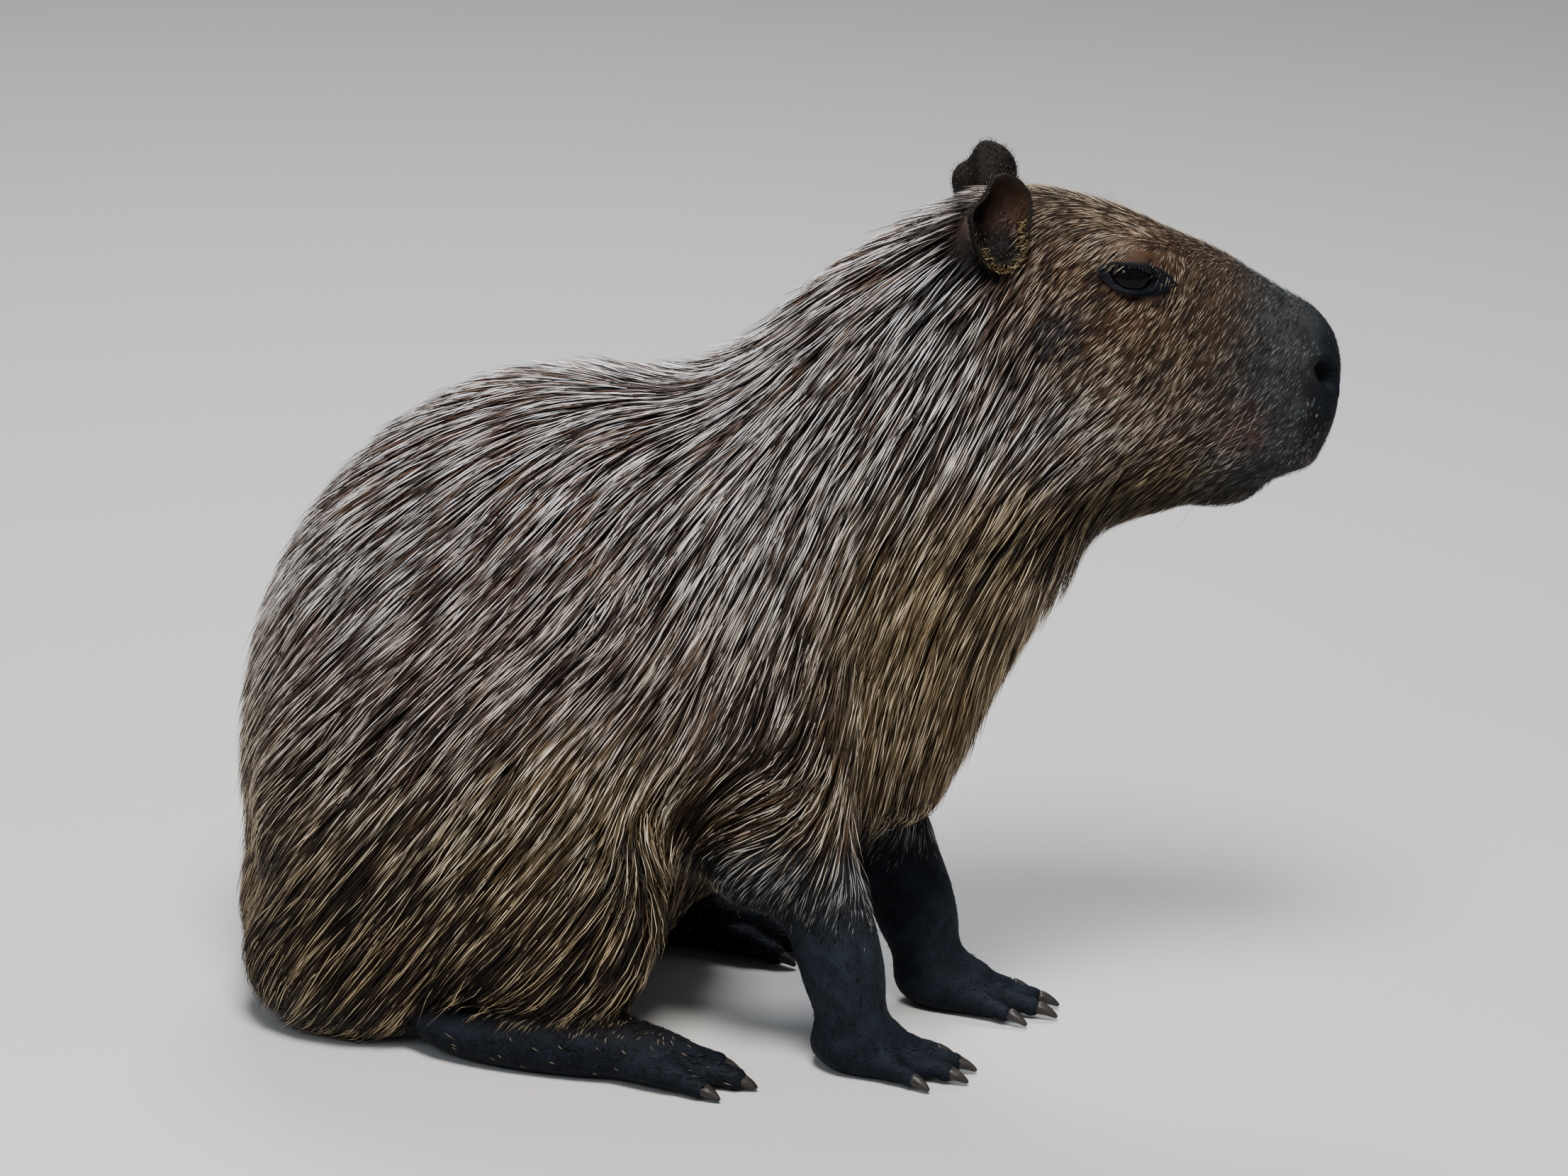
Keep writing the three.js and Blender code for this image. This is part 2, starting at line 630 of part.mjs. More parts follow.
// The way the hair lies at a place: back along the trunk and down, more steeply on neck, chest and legs
function lieAt(p, normal) {
  let nearest = Infinity;
  let tilt = 0;
  for (let i = 0; i <= 18; i++) {
    const station = SPINE.getPoint(i / 18);
    const far = Math.hypot(station.x - p.x, station.z - p.z);
    if (far < nearest) {
      nearest = far;
      tilt = radians(station.y);
    }
  }
  const steep = 0.35 + 0.5 * THREE.MathUtils.smoothstep(p.x, -60, 50);
  const way = point(-Math.cos(tilt), 0, -Math.sin(tilt) - steep);
  return way.addScaledVector(normal, -way.dot(normal)).normalize();
}

// Move a place along the surface's slope until it lies at a depth below the tips
function atDepth(p, depth) {
  const place = p.clone();
  for (let i = 0; i < 3; i++) {
    const normal = outwards(place);
    place.addScaledVector(normal, -(coated(place) + depth));
  }
  return place;
}

// One lock: a flat blade with a keel, sunk at its root, that rises to the tips along the lie. Each row
// is a share of its length, and its breadth and thickness there.
const LOCK_ROWS = [
  [0, 0, 0],
  [0.16, 0.8, 0.9],
  [0.5, 1, 1],
  [0.82, 0.52, 0.7],
  [1, 0, 0],
];

function makeLock(root, size) {
  const length = LOCK_LENGTH * size * around(1, 0.14);
  const width = LOCK_WIDTH * size * around(1, 0.1);
  const tipDepth = around(-0.8, 1.4);
  const veer = around(0, 0.16);
  const places = [];
  let place = root.clone();
  let normal = outwards(place);
  LOCK_ROWS.forEach(([share], i) => {
    if (i > 0) {
      const way = lieAt(place, normal).applyAxisAngle(normal, veer * (1 - share));
      place = place.clone().addScaledVector(way, length * (share - LOCK_ROWS[i - 1][0]));
    }
    const rise = share ** 0.72;
    const depth = (coreDrop(place) + LOCK_ROOT) * (1 - rise) + tipDepth * rise;
    place = atDepth(place, depth);
    normal = outwards(place);
    places.push({ place, normal, depth });
  });
  return { root, places, width };
}

// Grown, every point of a lock moves straight away from its middle, so that it holds the plain lock
function lockRows({ places, width }, grow) {
  return places.map(({ place, normal, depth }, i) => {
    const [, broad, thick] = LOCK_ROWS[i];
    const before = places[Math.max(i - 1, 0)].place;
    const after = places[Math.min(i + 1, places.length - 1)].place;
    const way = after.clone().sub(before).normalize();
    if (broad === 0) return [place.clone().addScaledVector(way, i === 0 ? -grow * 3 : grow * 6)];
    const side = way.clone().cross(normal).normalize();
    const half = (width * broad) / 2;
    const high = (LOCK_THICKNESS * thick) / 2;
    const edge = (way) => atDepth(place.clone().addScaledVector(side, half * way), depth + high * 0.5);
    const face = (way) => place.clone().addScaledVector(normal, way * high);
    const away = (p, far) => p.addScaledVector(p.clone().sub(place).normalize(), far);
    return [1, -1].flatMap((way) => [away(edge(way), grow * 3), away(face(way), grow * 2)]);
  });
}

const lockSolid = (lock, grow) => turnedRows(lockRows(lock, grow));

// A lock is sound where none of its rows folds back over the row before it
function isSound(lock) {
  const rows = lockRows(lock, CUT);
  return rows.every((row, i) => {
    if (i === 0) return true;
    const way = lock.places[i].place.clone().sub(lock.places[i - 1].place);
    const apart = way.length();
    way.normalize();
    const corners = Math.max(row.length, rows[i - 1].length);
    for (let k = 0; k < corners; k++) {
      const step = row[k % row.length].clone().sub(rows[i - 1][k % rows[i - 1].length]);
      if (step.dot(way) < SOUND_STEP * apart) return false;
    }
    return lock.places[i].normal.dot(lock.places[i - 1].normal) > SOUND_BEND;
  });
}

// Which node a place on the coat belongs to
function ownerOf(p) {
  const side = p.y > 0 ? "l" : "r";
  const inside = (part) => {
    const share = [p.x, Math.abs(p.y), p.z].map((value, i) => (value - part.at[i]) / part.half[i]);
    return Math.hypot(...share) < 1;
  };
  if (behindNape(p) < 0) return "head";
  if (behindWithers(p) < 0) return "neck";
  if (inside(ARM_PART)) return `foreleg_${side}`;
  if (inside(THIGH_PART)) return `hindleg_${side}`;
  return "torso";
}

// Roots spread evenly at random over the coat, each at least the spacing away from the others
const isMiddle = (place) => place.y > 0 && place.y < 14;

function sowLocks() {
  const places = [];
  for (const share of between(0, NAPE + 0.06, 34)) {
    places.push(...trunkRow(WHOLE, share, 0, 72));
  }
  for (const fan of [-8, -16, -24, -32, -40, -48, -56, -64, -72, -80]) {
    places.push(...trunkRow(WHOLE, 0, 0, 48, radians(fan)));
  }
  for (let i = places.length - 1; i > 0; i--) {
    const other = Math.floor(random() * (i + 1));
    [places[i], places[other]] = [places[other], places[i]];
  }
  const locks = { head: [], neck: [], torso: [] };
  for (const limb of ["foreleg_l", "foreleg_r", "hindleg_l", "hindleg_r"]) locks[limb] = [];
  const roots = [];
  // The outline comes first: a row along the back and down the rump, and one down the chest
  const outline = [];
  for (const fan of [-78, -58, -38, -19]) {
    outline.push(...trunkRow(WHOLE, 0, 0, 48, radians(fan)).filter(isMiddle));
  }
  for (const share of between(0, NAPE, 60)) {
    outline.push(...trunkRow(WHOLE, share, 0, 48).filter(isMiddle));
  }
  const arms = [];
  for (let z = 196; z > 104; z -= 6) {
    for (const side of [1, -1]) {
      for (let i = 0; i < 24; i++) {
        const way = point(Math.cos((i * Math.PI) / 12), Math.sin((i * Math.PI) / 12), 0);
        const from = point(20 + (side > 0 ? STRIDE * (1 - z / STRIDE_TOP) : 0), side * 74, z);
        arms.push(from.clone().addScaledVector(way, reach(COATED[side > 0 ? 0 : 1], from, way, 0, 100)));
      }
    }
  }
  const cheeks = places.filter((place) => ownerOf(place) === "head");
  for (const place of [...outline, ...cheeks, ...places, ...arms]) {
    const owner = ownerOf(place);
    const size = owner === "head" || owner.startsWith("fore") ? 0.62 : 1;
    const ear = point(EAR_ROOT.x, Math.sign(place.y) * EAR_ROOT.y, EAR_ROOT.z);
    if (place.z < LOWEST_ROOT || outwards(place).z < -0.75) continue;
    if (owner === "head" && (place.distanceTo(ear) < 40 || behindNape(place) < -44)) continue;
    if (owner === "neck" && place.distanceTo(ear) < 30) continue;
    if (roots.some((other) => other.distanceTo(place) < LOCK_SPACING * (size + 1) / 2)) continue;
    const lock = [size, size * 0.8, size * 0.6].map((share) => makeLock(place, share)).find(isSound);
    if (!lock) continue;
    roots.push(place);
    locks[owner].push(lock);
  }
  return locks;
}

const locks = sowLocks();
const locksSolid = (name, grow) => join(locks[name].map((lock) => lockSolid(lock, grow)));
const withLocks = (name, solid, grow) => join([solid, locksSolid(name, grow)]);

// Where two nodes meet, the later one gives way: it is cut by the earlier one grown by the cut
const headGrown = withLocks("head", skullSolid(CUT), CUT);
const neckGrown = withLocks("neck", neckSolid(CUT), CUT);
const torsoLocksGrown = locksSolid("torso", CUT);
const aboveTorso = join([headGrown, neckGrown]);
const aboveLegs = join([aboveTorso, torsoLocksGrown]);
addNode("head", headSolid(0), coat);
addNode("neck", withLocks("neck", neckSolid(0), 0).subtract(headGrown), coat);
const eye = ballSolid(EYE, [EYE_RADIUS, EYE_RADIUS, EYE_RADIUS], 0, 14, 10);
const trunk = torsoSolid(0);
const legCuts = [];
for (const [side, name] of [[1, "l"], [-1, "r"]]) {
  const face = (solid) => (side < 0 ? mirrored(solid) : solid);
  const stride = side > 0 ? STRIDE : 0;
  addNode(`eye_${name}`, onHead(face(eye)), eyeGloss);
  const bedding = aboveTorso.subtract(onHead(face(cupSolid(CUT))));
  addNode(`ear_${name}`, onHead(face(placedByEar(earSolid()))).subtract(bedding), earSkin);
  const armSpace = face(partSolid(ARM_PART, GAP));
  const shinGrown = face(forelegSolid(stride, CUT));
  const foreGrown = locksSolid(`foreleg_${name}`, CUT);
  const hindGrown = locksSolid(`hindleg_${name}`, CUT);
  const arm = join([trunk.intersect(face(partSolid(ARM_PART, 0))), face(forelegSolid(stride, 0))]);
  addNode(`foreleg_${name}`, withLocks(`foreleg_${name}`, arm, 0).subtract(aboveLegs), coat);
  const thigh = trunk.intersect(face(partSolid(THIGH_PART, 0)));
  const clear = join([aboveLegs, foreGrown, armSpace, shinGrown, FLOOR]);
  addNode(`hindleg_${name}`, withLocks(`hindleg_${name}`, thigh, 0).subtract(clear), coat);
  addFeet(side, name, stride, face(join([torsoSolid(CUT), hindGrown, torsoLocksGrown])));
  const thighSpace = face(partSolid(THIGH_PART, GAP));
  legCuts.push({ space: join([armSpace, shinGrown, thighSpace]), grown: [foreGrown, hindGrown] });
}
const bareTorso = trunk.subtract(join(legCuts.map(({ space }) => space)));
const aroundTorso = join([aboveTorso, FLOOR, ...legCuts.flatMap(({ grown }) => grown)]);
addNode("torso", withLocks("torso", bareTorso, 0).subtract(aroundTorso), coat);

// The middle of the whole stands over the origin
const box = new THREE.Box3().setFromObject(animal);
animal.position.set(-(box.min.x + box.max.x) / 2, -(box.min.y + box.max.y) / 2, 0);

export default animal;
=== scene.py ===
# A capybara sitting on its haunches, life size, dressed with its skin and its bristly coat.
import math

import bmesh
import bpy
import numpy as np
from mathutils import Matrix, Vector
from mathutils.kdtree import KDTree


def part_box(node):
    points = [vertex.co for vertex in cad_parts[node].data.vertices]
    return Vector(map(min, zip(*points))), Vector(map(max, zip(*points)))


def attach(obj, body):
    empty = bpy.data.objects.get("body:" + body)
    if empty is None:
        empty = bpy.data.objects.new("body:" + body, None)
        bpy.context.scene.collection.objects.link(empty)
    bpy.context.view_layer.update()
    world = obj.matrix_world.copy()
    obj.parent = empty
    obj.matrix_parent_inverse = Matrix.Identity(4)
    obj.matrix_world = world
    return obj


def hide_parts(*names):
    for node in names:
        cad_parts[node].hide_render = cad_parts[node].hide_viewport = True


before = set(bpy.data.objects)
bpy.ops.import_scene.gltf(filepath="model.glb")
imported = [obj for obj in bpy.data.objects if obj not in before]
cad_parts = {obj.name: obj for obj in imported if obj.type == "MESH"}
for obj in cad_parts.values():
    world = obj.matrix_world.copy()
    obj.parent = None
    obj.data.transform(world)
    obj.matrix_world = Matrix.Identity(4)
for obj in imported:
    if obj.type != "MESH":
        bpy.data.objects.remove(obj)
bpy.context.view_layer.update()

# The skin: one hide over the whole animal, from the pad of the nose to the toes, with lids, lips,
# nostrils and ears. It is shaped straight and even on both sides in millimetres, from the same rounded
# masses as the solids, and the head is turned at the end. It lies under the tips of the coat.
MM = 0.001
HEAD_TURN = math.radians(15)
TURN_FROM = np.array([20.0, 0, 390])
TURN_TO = np.array([130.0, 0, 480])
TURN_PIVOT = 66
STRIDE = 36
STRIDE_TOP = 220
TOE_STRIDE = 0.93 * STRIDE

# Masses: middle, half sizes, tilt in degrees, squareness, and how softly it joins those before. One
# that stands off the middle line is there on both sides.
TRUNK = [
    ((-222, 0, 156), (131, 124, 172), 0, 2, 10),
    ((-264, 0, 50), (88, 96, 70), 0, 2, 30),
    ((-140, 0, 264), (182, 132, 164), 24, 2, 60),
    ((-122, 0, 180), (140, 112, 122), 10, 2, 40),
    ((-8, 0, 316), (125, 110, 114), 32, 2, 60),
    ((44, 0, 264), (80, 84, 118), 22, 2, 50),
    ((86, 0, 415), (152, 86, 116), 46, 2, 56),
    ((110, 0, 322), (138, 62, 59), 64, 2.3, 40),
    ((16, 70, 196), (50, 36, 84), -6, 2, 30),
    ((-196, 100, 146), (124, 52, 122), -8, 2, 30),
    ((-108, 118, 96), (66, 42, 66), 0, 2, 40),
    ((-258, 96, 44), (66, 46, 50), 0, 2, 40),
]
HEAD = [
    ((156, 0, 496), (80, 49, 60), -5, 2, 50),
    ((212, 0, 494), (80, 45, 50), -20, 2, 20),
    ((202, 33, 533), (31, 15, 11), -14, 2, 14),
    ((202, 36, 519), (28, 15, 17), -12, 2, 12),
    ((176, 0, 434), (98, 63, 84), 10, 2, 30),
    ((272, 0, 458), (69, 40, 54), -24, 2.5, 30),
    ((294, 0, 441), (45, 38, 51), -6, 2.7, 20),
    ((290, 0, 408), (44, 38, 22), -12, 2, 16),
    ((226, 0, 400), (80, 42, 42), 4, 2, 26),
    ((276, 0, 375), (27, 20, 16), 8, 2, 10),
]
FORELEGS = [
    ((6, 74, 146), (36, 30, 40), 0, 2, 24),
    ((48, 70, 112), (29, 25, 84), 14, 2, 24),
    ((64, 65, 56), (23, 21, 46), 10, 2, 16),
    ((75, 64, 16), (34, 27, 19), 0, 2, 18),
    ((97, 64, 8), (26, 26, 7), -4, 2, 10),
]
HINDFEET = [
    ((-112, 122, 20), (94, 25, 23), 0, 2, 14),
    ((-40, 122, 10), (34, 27, 9), -4, 2, 10),
]
EYE = np.array([202, 40.5, 520])
EYE_RADIUS = 15.5
LID = 2.0
LID_HALF = 18.5
LID_OPEN = 8.4
LID_TILT = math.radians(-12)
# Toes: where each starts ahead of the foot's middle, how far it reaches, how far across, its half width
FOREFOOT = (75, 64, 19)
FORE_TOES = [(4, 42, -26, 7), (4, 58, -9, 8), (4, 56, 10, 8), (4, 36, 27, 7)]
HINDFOOT = (-112, 122, 24)
HIND_TOES = [(50, 100, -23, 9), (50, 116, 1, 10), (50, 98, 24, 8.5)]
TOE_HEIGHT = 8
SPINE = np.array(
    [
        [-275, 34, 158], [-205, 32, 212], [-110, 30, 270], [-35, 38, 322], [21, 43, 366],
        [85, 36, 412], [145, 24, 455], [195, 12, 458], [245, 2, 452], [300, -5, 440],
    ],
    float,
)
NAPE = (145, math.radians(24), 455)
CORE_DROP = 9
FUR_DROP = 2.2
BARE_DROP = 0.8
SKIN_VOXEL = 3.9 * MM
# The crease that parts the shoulder and the elbow from the flank, as x and z along it
CREASE = np.array([(58, 270), (30, 264), (4, 216), (-18, 160)], float)
CREASE_HALF = 15
CREASE_DEPTH = 8


def smoothstep(value, low, high):
    share = np.clip((value - low) / (high - low), 0, 1)
    return share * share * (3 - 2 * share)


def unit(ways):
    return ways / np.maximum(np.linalg.norm(ways, axis=-1, keepdims=True), 1e-9)


def on_line(places, start, end):
    """How far along a line places lie, from 0 at its start to 1, and how far away from it."""
    way = end - start
    share = np.clip((places - start) @ way / (way @ way), 0, 1)
    return share, np.linalg.norm(places - start - share[:, None] * way, axis=1)


def stride_at(z):
    """How far ahead the left foreleg stands at a height."""
    return STRIDE * np.maximum(0, 1 - z / STRIDE_TOP)


def outside_mass(mass, places, forward=0.0):
    """How far places lie outside a mass that stands forward of where its numbers say."""
    (x, y, z), half, tilt, square, _ = mass
    half = np.array(half)[:, None]
    dx = places[:, 0] - x - forward
    dy = (np.abs(places[:, 1]) if y else places[:, 1]) - y
    dz = places[:, 2] - z
    c, s = math.cos(math.radians(tilt)), math.sin(math.radians(tilt))
    shares = np.maximum(np.abs(np.stack([dx * c + dz * s, dy, dz * c - dx * s])) / half, 1e-6)
    if square == 2:
        ring = np.sqrt((shares**2).sum(0))
        slope = np.sqrt(((shares / half) ** 2).sum(0)) / ring
    else:
        ring = (shares**square).sum(0) ** (1 / square)
        slope = np.sqrt(((shares ** (square - 1) / half) ** 2).sum(0)) * ring ** (1 - square)
    return (ring - 1) / slope


def toe_lines():
    """Each toe as straight stretches: two ends, their radii, and how far the left one strides."""
    lines = []
    for foot, toes, stride in ((FOREFOOT, FORE_TOES, TOE_STRIDE), (HINDFOOT, HIND_TOES, 0)):
        for root, reach, across, half in toes:
            start = np.array([foot[0] + root, foot[1] + across * 0.5, foot[2] * 0.62])
            end = np.array([foot[0] + reach, foot[1] + across, TOE_HEIGHT - 0.5])
            knuckle = start * 0.45 + end * 0.55 + np.array([0, 0, 2.5])
            lines.append((start, knuckle, half * 1.15, half, stride))
            lines.append((knuckle, end, half, half * 0.86, stride))
    return lines


TOE_LINES = toe_lines()


def outside_toe(line, places, left):
    start, end, first, last, stride = line
    at = np.stack([places[:, 0] - left * stride, np.abs(places[:, 1]), places[:, 2]], 1)
    share, away = on_line(at, start, end)
    return away - (first + (last - first) * share)


def join_softly(depth, other, blend):
    overlap = np.maximum(blend - np.abs(depth - other), 0)
    return np.minimum(depth, other) - overlap * overlap / (4 * blend)


def crease_share(places):
    """1 along the crease behind shoulder and elbow, 0 away from it."""
    stretches = zip(CREASE[:-1], CREASE[1:])
    away = np.min([on_line(places[:, [0, 2]], start, end)[1] for start, end in stretches], axis=0)
    return np.exp(-((away / CREASE_HALF) ** 2)) * smoothstep(np.abs(places[:, 1]), 50, 75)


def outside(places):
    """How far places lie outside the tips of the coat; less than 0 inside."""
    depth = np.full(len(places), 1e3)
    for mass in TRUNK + HEAD:
        depth = join_softly(depth, outside_mass(mass, places), mass[4])
    low = np.flatnonzero(places[:, 2] < 260)
    if len(low):
        near, near_depth = places[low], depth[low]
        left = (near[:, 1] > 0).astype(float)
        for mass in FORELEGS:
            forward = left * stride_at(mass[0][2])
            near_depth = join_softly(near_depth, outside_mass(mass, near, forward), mass[4])
        for mass in HINDFEET:
            near_depth = join_softly(near_depth, outside_mass(mass, near), mass[4])
        for line in TOE_LINES:
            near_depth = join_softly(near_depth, outside_toe(line, near, left), 5)
        depth[low] = near_depth
    return depth + CREASE_DEPTH * crease_share(places)


def slope_at(places):
    """The direction straight out of the body at places, and how far outside they are."""
    depth = outside(places)
    step = 0.8
    slope = np.stack([outside(places + step * axis) - depth for axis in np.eye(3)], 1)
    return unit(slope), depth


def behind_nape(places):
    x, tilt, z = NAPE
    return (x - places[:, 0]) * math.cos(tilt) + (z - places[:, 2]) * math.sin(tilt)


def foreleg_share(places):
    """1 on the forelegs and fore feet, 0 on the rest of the body."""
    x, y, z = places.T
    middle = 22 + np.clip(160 - z, 0, 160) * 0.42 + (y > 0) * stride_at(z)
    return smoothstep(x - middle, -62, -40) * smoothstep(-z, -190, -150)


def long_share(places):
    """1 where the coat is long, 0 on the face, on the lower legs and on the feet."""
    x, _, z = places.T
    nape = smoothstep(behind_nape(places), -45, 25)
    legs = 1 + (smoothstep(z, 100, 205) - 1) * smoothstep(x, -60, -20)
    heel = smoothstep(z - 0.28 * np.maximum(x + 170, 0), 18, 46)
    return nape * legs * (1 + (heel - 1) * smoothstep(x, -235, -190) * (x < 0))


def lid_ways(away):
    """How far places lie along and across the opening of the lids."""
    c, s = math.cos(LID_TILT), math.sin(LID_TILT)
    return away[:, 0] * c + away[:, 2] * s, away[:, 2] * c - away[:, 0] * s


def lid_share(places):
    """1 on the naked lids, which reach past the corners of the eye."""
    along, across = lid_ways(places - (EYE + [3, 0, -1]) * [1, 0, 1])
    height = 11 * np.clip(1 - ((along - 1) / 27) ** 2, 0.01, 1) ** 0.8
    return smoothstep(-np.abs(across - 1) / height, -1.12, -0.86) * (np.abs(places[:, 1]) > 30)


def bare_share(places):
    """1 on the bare skin of nose, feet and lower legs, 0 where fur grows thickly."""
    x, _, z = places.T
    legs = smoothstep(-z, -130, -84) * foreleg_share(places)
    feet = smoothstep(-z, -44, -26) * (x > -215) * (x < 20)
    nose = 0.7 * smoothstep(x + 0.12 * (z - 440), 322, 336)
    return np.clip(np.maximum.reduce([legs, feet * 0.85, nose, lid_share(places)]), 0, 1)


def skin_drop(places):
    """How deep the skin lies under the tips of the coat."""
    return CORE_DROP * long_share(places) + FUR_DROP + (BARE_DROP - FUR_DROP) * bare_share(places)


def turned(places):
    """The head and the front of the neck turn about an upright line."""
    share, _ = on_line(places, TURN_FROM, TURN_TO)
    angle = HEAD_TURN * share * share * (3 - 2 * share)
    x, y = places[:, 0] - TURN_PIVOT, places[:, 1]
    c, s = np.cos(angle), np.sin(angle)
    return np.stack([TURN_PIVOT + x * c - y * s, x * s + y * c, places[:, 2]], 1)


# The solids stand centred over the origin: the right eye tells by how much they were moved
eye_low, eye_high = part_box("eye_r")
eye_straight = turned((EYE * [1, -1, 1])[None])[0]
TO_FRAME = np.array([(eye_low[i] + eye_high[i]) / 2 / MM - eye_straight[i] for i in range(3)])


def in_frame(places):
    """Straight millimetres to the frame's metres, with the head turned."""
    return (turned(places) + TO_FRAME) * MM


def vertex_places(mesh):
    places = np.empty(len(mesh.vertices) * 3, np.float64)
    mesh.vertices.foreach_get("co", places)
    return places.reshape(-1, 3)


def set_places(mesh, places):
    mesh.vertices.foreach_set("co", places.astype(np.float32).ravel())
    mesh.update()


def scene_object(name, mesh):
    piece = bpy.data.objects.new(name, mesh)
    bpy.context.scene.collection.objects.link(piece)
    return piece


def mesh_of(bm, name):
    made = bpy.data.meshes.new(name)
    bm.to_mesh(made)
    bm.free()
    return made


def smooth_faces(mesh):
    mesh.polygons.foreach_set("use_smooth", np.ones(len(mesh.polygons), bool))


ball = bmesh.new()
bmesh.ops.create_uvsphere(ball, u_segments=28, v_segments=18, radius=1)
BALL = mesh_of(ball, "ball")


def add_lump(bm, middle, half, tilt):
    turn = Matrix.Rotation(-math.radians(tilt), 4, "Y")
    lump = BALL.copy()
    lump.transform(Matrix.Translation(Vector(middle)) @ turn @ Matrix.Diagonal((*half, 1)))
    bm.from_mesh(lump)
    bpy.data.meshes.remove(lump)


def rough_body():
    """The masses as overlapping balls, a little smaller than the skin."""
    bm = bmesh.new()
    for masses, strides in ((TRUNK + HEAD + HINDFEET, False), (FORELEGS, True)):
        for (x, y, z), half, tilt, _, _ in masses:
            long_here = long_share(np.array([[x, y, z]], float))[0]
            size = [max(value - 3 - CORE_DROP * long_here, 3.5) for value in half]
            for side in (1, -1) if y else (1,):
                forward = stride_at(z) if strides and side > 0 else 0
                add_lump(bm, (x + forward, y * side, z), size, tilt)
    for start, end, first, last, stride in TOE_LINES:
        for side in (1, -1):
            forward = stride if side > 0 else 0
            for share in (0, 0.5, 1):
                at = start + (end - start) * share
                radius = first + (last - first) * share - 1
                add_lump(bm, (at[0] + forward, at[1] * side, at[2]), [radius] * 3, 0)
    bmesh.ops.scale(bm, vec=(MM, MM, MM), verts=bm.verts)
    return mesh_of(bm, "skin")


def apply_modifiers(piece):
    depsgraph = bpy.context.evaluated_depsgraph_get()
    finished = bpy.data.meshes.new_from_object(piece.evaluated_get(depsgraph))
    piece.modifiers.clear()
    piece.data = finished
    return finished


def onto_skin(places, rounds):
    """Moves places straight in or out until they lie on the skin."""
    for _ in range(rounds):
        normals, depth = slope_at(places)
        places = places - normals * np.clip(depth + skin_drop(places), -6, 6)[:, None]
    return places


def refine(bm, near, times):
    """Splits the edges of the faces near some places, several times over."""
    for _ in range(times):
        co = np.array([v.co[:] for v in bm.verts])
        inside = near(co)
        bm.verts.index_update()
        edges = [e for e in bm.edges if inside[e.verts[0].index] and inside[e.verts[1].index]]
        bmesh.ops.subdivide_edges(bm, edges=edges, cuts=1, use_grid_fill=True)


skin = scene_object("skin", rough_body())
remesh = skin.modifiers.new("even", "REMESH")
remesh.mode = "VOXEL"
remesh.voxel_size = SKIN_VOXEL
mesh = apply_modifiers(skin)
set_places(mesh, onto_skin(vertex_places(mesh) / MM, 5))
bm = bmesh.new()
bm.from_mesh(mesh)
for _ in range(3):
    axes = {f"use_axis_{axis}": True for axis in "xyz"}
    bmesh.ops.smooth_vert(bm, verts=bm.verts, factor=0.5, **axes)


def near_eye(co):
    return np.linalg.norm((co - EYE * [1, 0, 1]) * [1, 0, 1], axis=1) < 31


def mouth_height(x):
    return 379 + (x - 250) * 0.13


def near_mouth(co):
    return (np.abs(co[:, 2] - mouth_height(co[:, 0])) < 11) & (co[:, 0] > 238)


def near_nose(co):
    return (co[:, 0] > 308) & (np.abs(co[:, 2] - 455) < 34)


refine(bm, lambda co: near_eye(co) & (np.abs(co[:, 1]) > 28), 2)
refine(bm, lambda co: near_mouth(co) | near_nose(co), 1)
bmesh.ops.triangulate(bm, faces=bm.faces)
bm.to_mesh(mesh)
bm.free()
places = onto_skin(vertex_places(mesh), 4)


def on_side(point, side):
    """A point of the animal's left, on the side of each place."""
    return point * np.stack([np.ones(len(side)), side, np.ones(len(side))], 1)


def sculpt_lids(places):
    """A skin over the eyeball, with a rim round the almond of the opening and a fold above it."""
    side = np.sign(places[:, 1])
    away = places - on_side(EYE, side)
    reach = np.linalg.norm(away, axis=1)
    ball = smoothstep(-reach, -30, -15)
    far = np.maximum(reach, EYE_RADIUS + LID)
    onto_ball = away * (far / np.maximum(reach, 1e-6))[:, None]
    outwards = (away[:, 1] * side > 2) * ball
    away = away + (onto_ball - away) * outwards[:, None]
    along, across = lid_ways(away)
    upper = across > 0
    edge = LID_OPEN * np.where(upper, 1.0, 0.86) * np.clip(1 - (along / LID_HALF) ** 2, 0, 1) ** 0.75
    outside_lids = np.abs(across) - edge
    direction = unit(away)
    near = (away[:, 1] * side > 4) & (np.abs(along) < 27) & (np.abs(across) < 26)
    rim = np.exp(-(((outside_lids - 1.3) / 1.3) ** 2)) * 0.9
    crease = -np.exp(-(((outside_lids - 5.2) / 1.4) ** 2)) * np.where(upper, 1.5, 1.0)
    fold = np.exp(-(((outside_lids - 8.5) / 2.4) ** 2)) * np.where(upper, 1.2, 0.4)
    corners = np.clip(1.25 - np.abs(along) / 24, 0, 1)
    away = away + direction * ((rim + (crease + fold) * corners) * near)[:, None]
    hole = near & (outside_lids < 0) & (np.abs(along) < LID_HALF)
    return on_side(EYE, side) + np.where(hole[:, None], direction * (EYE_RADIUS - 2.2), away)


NOSTRIL = np.array([329.0, 27, 454])


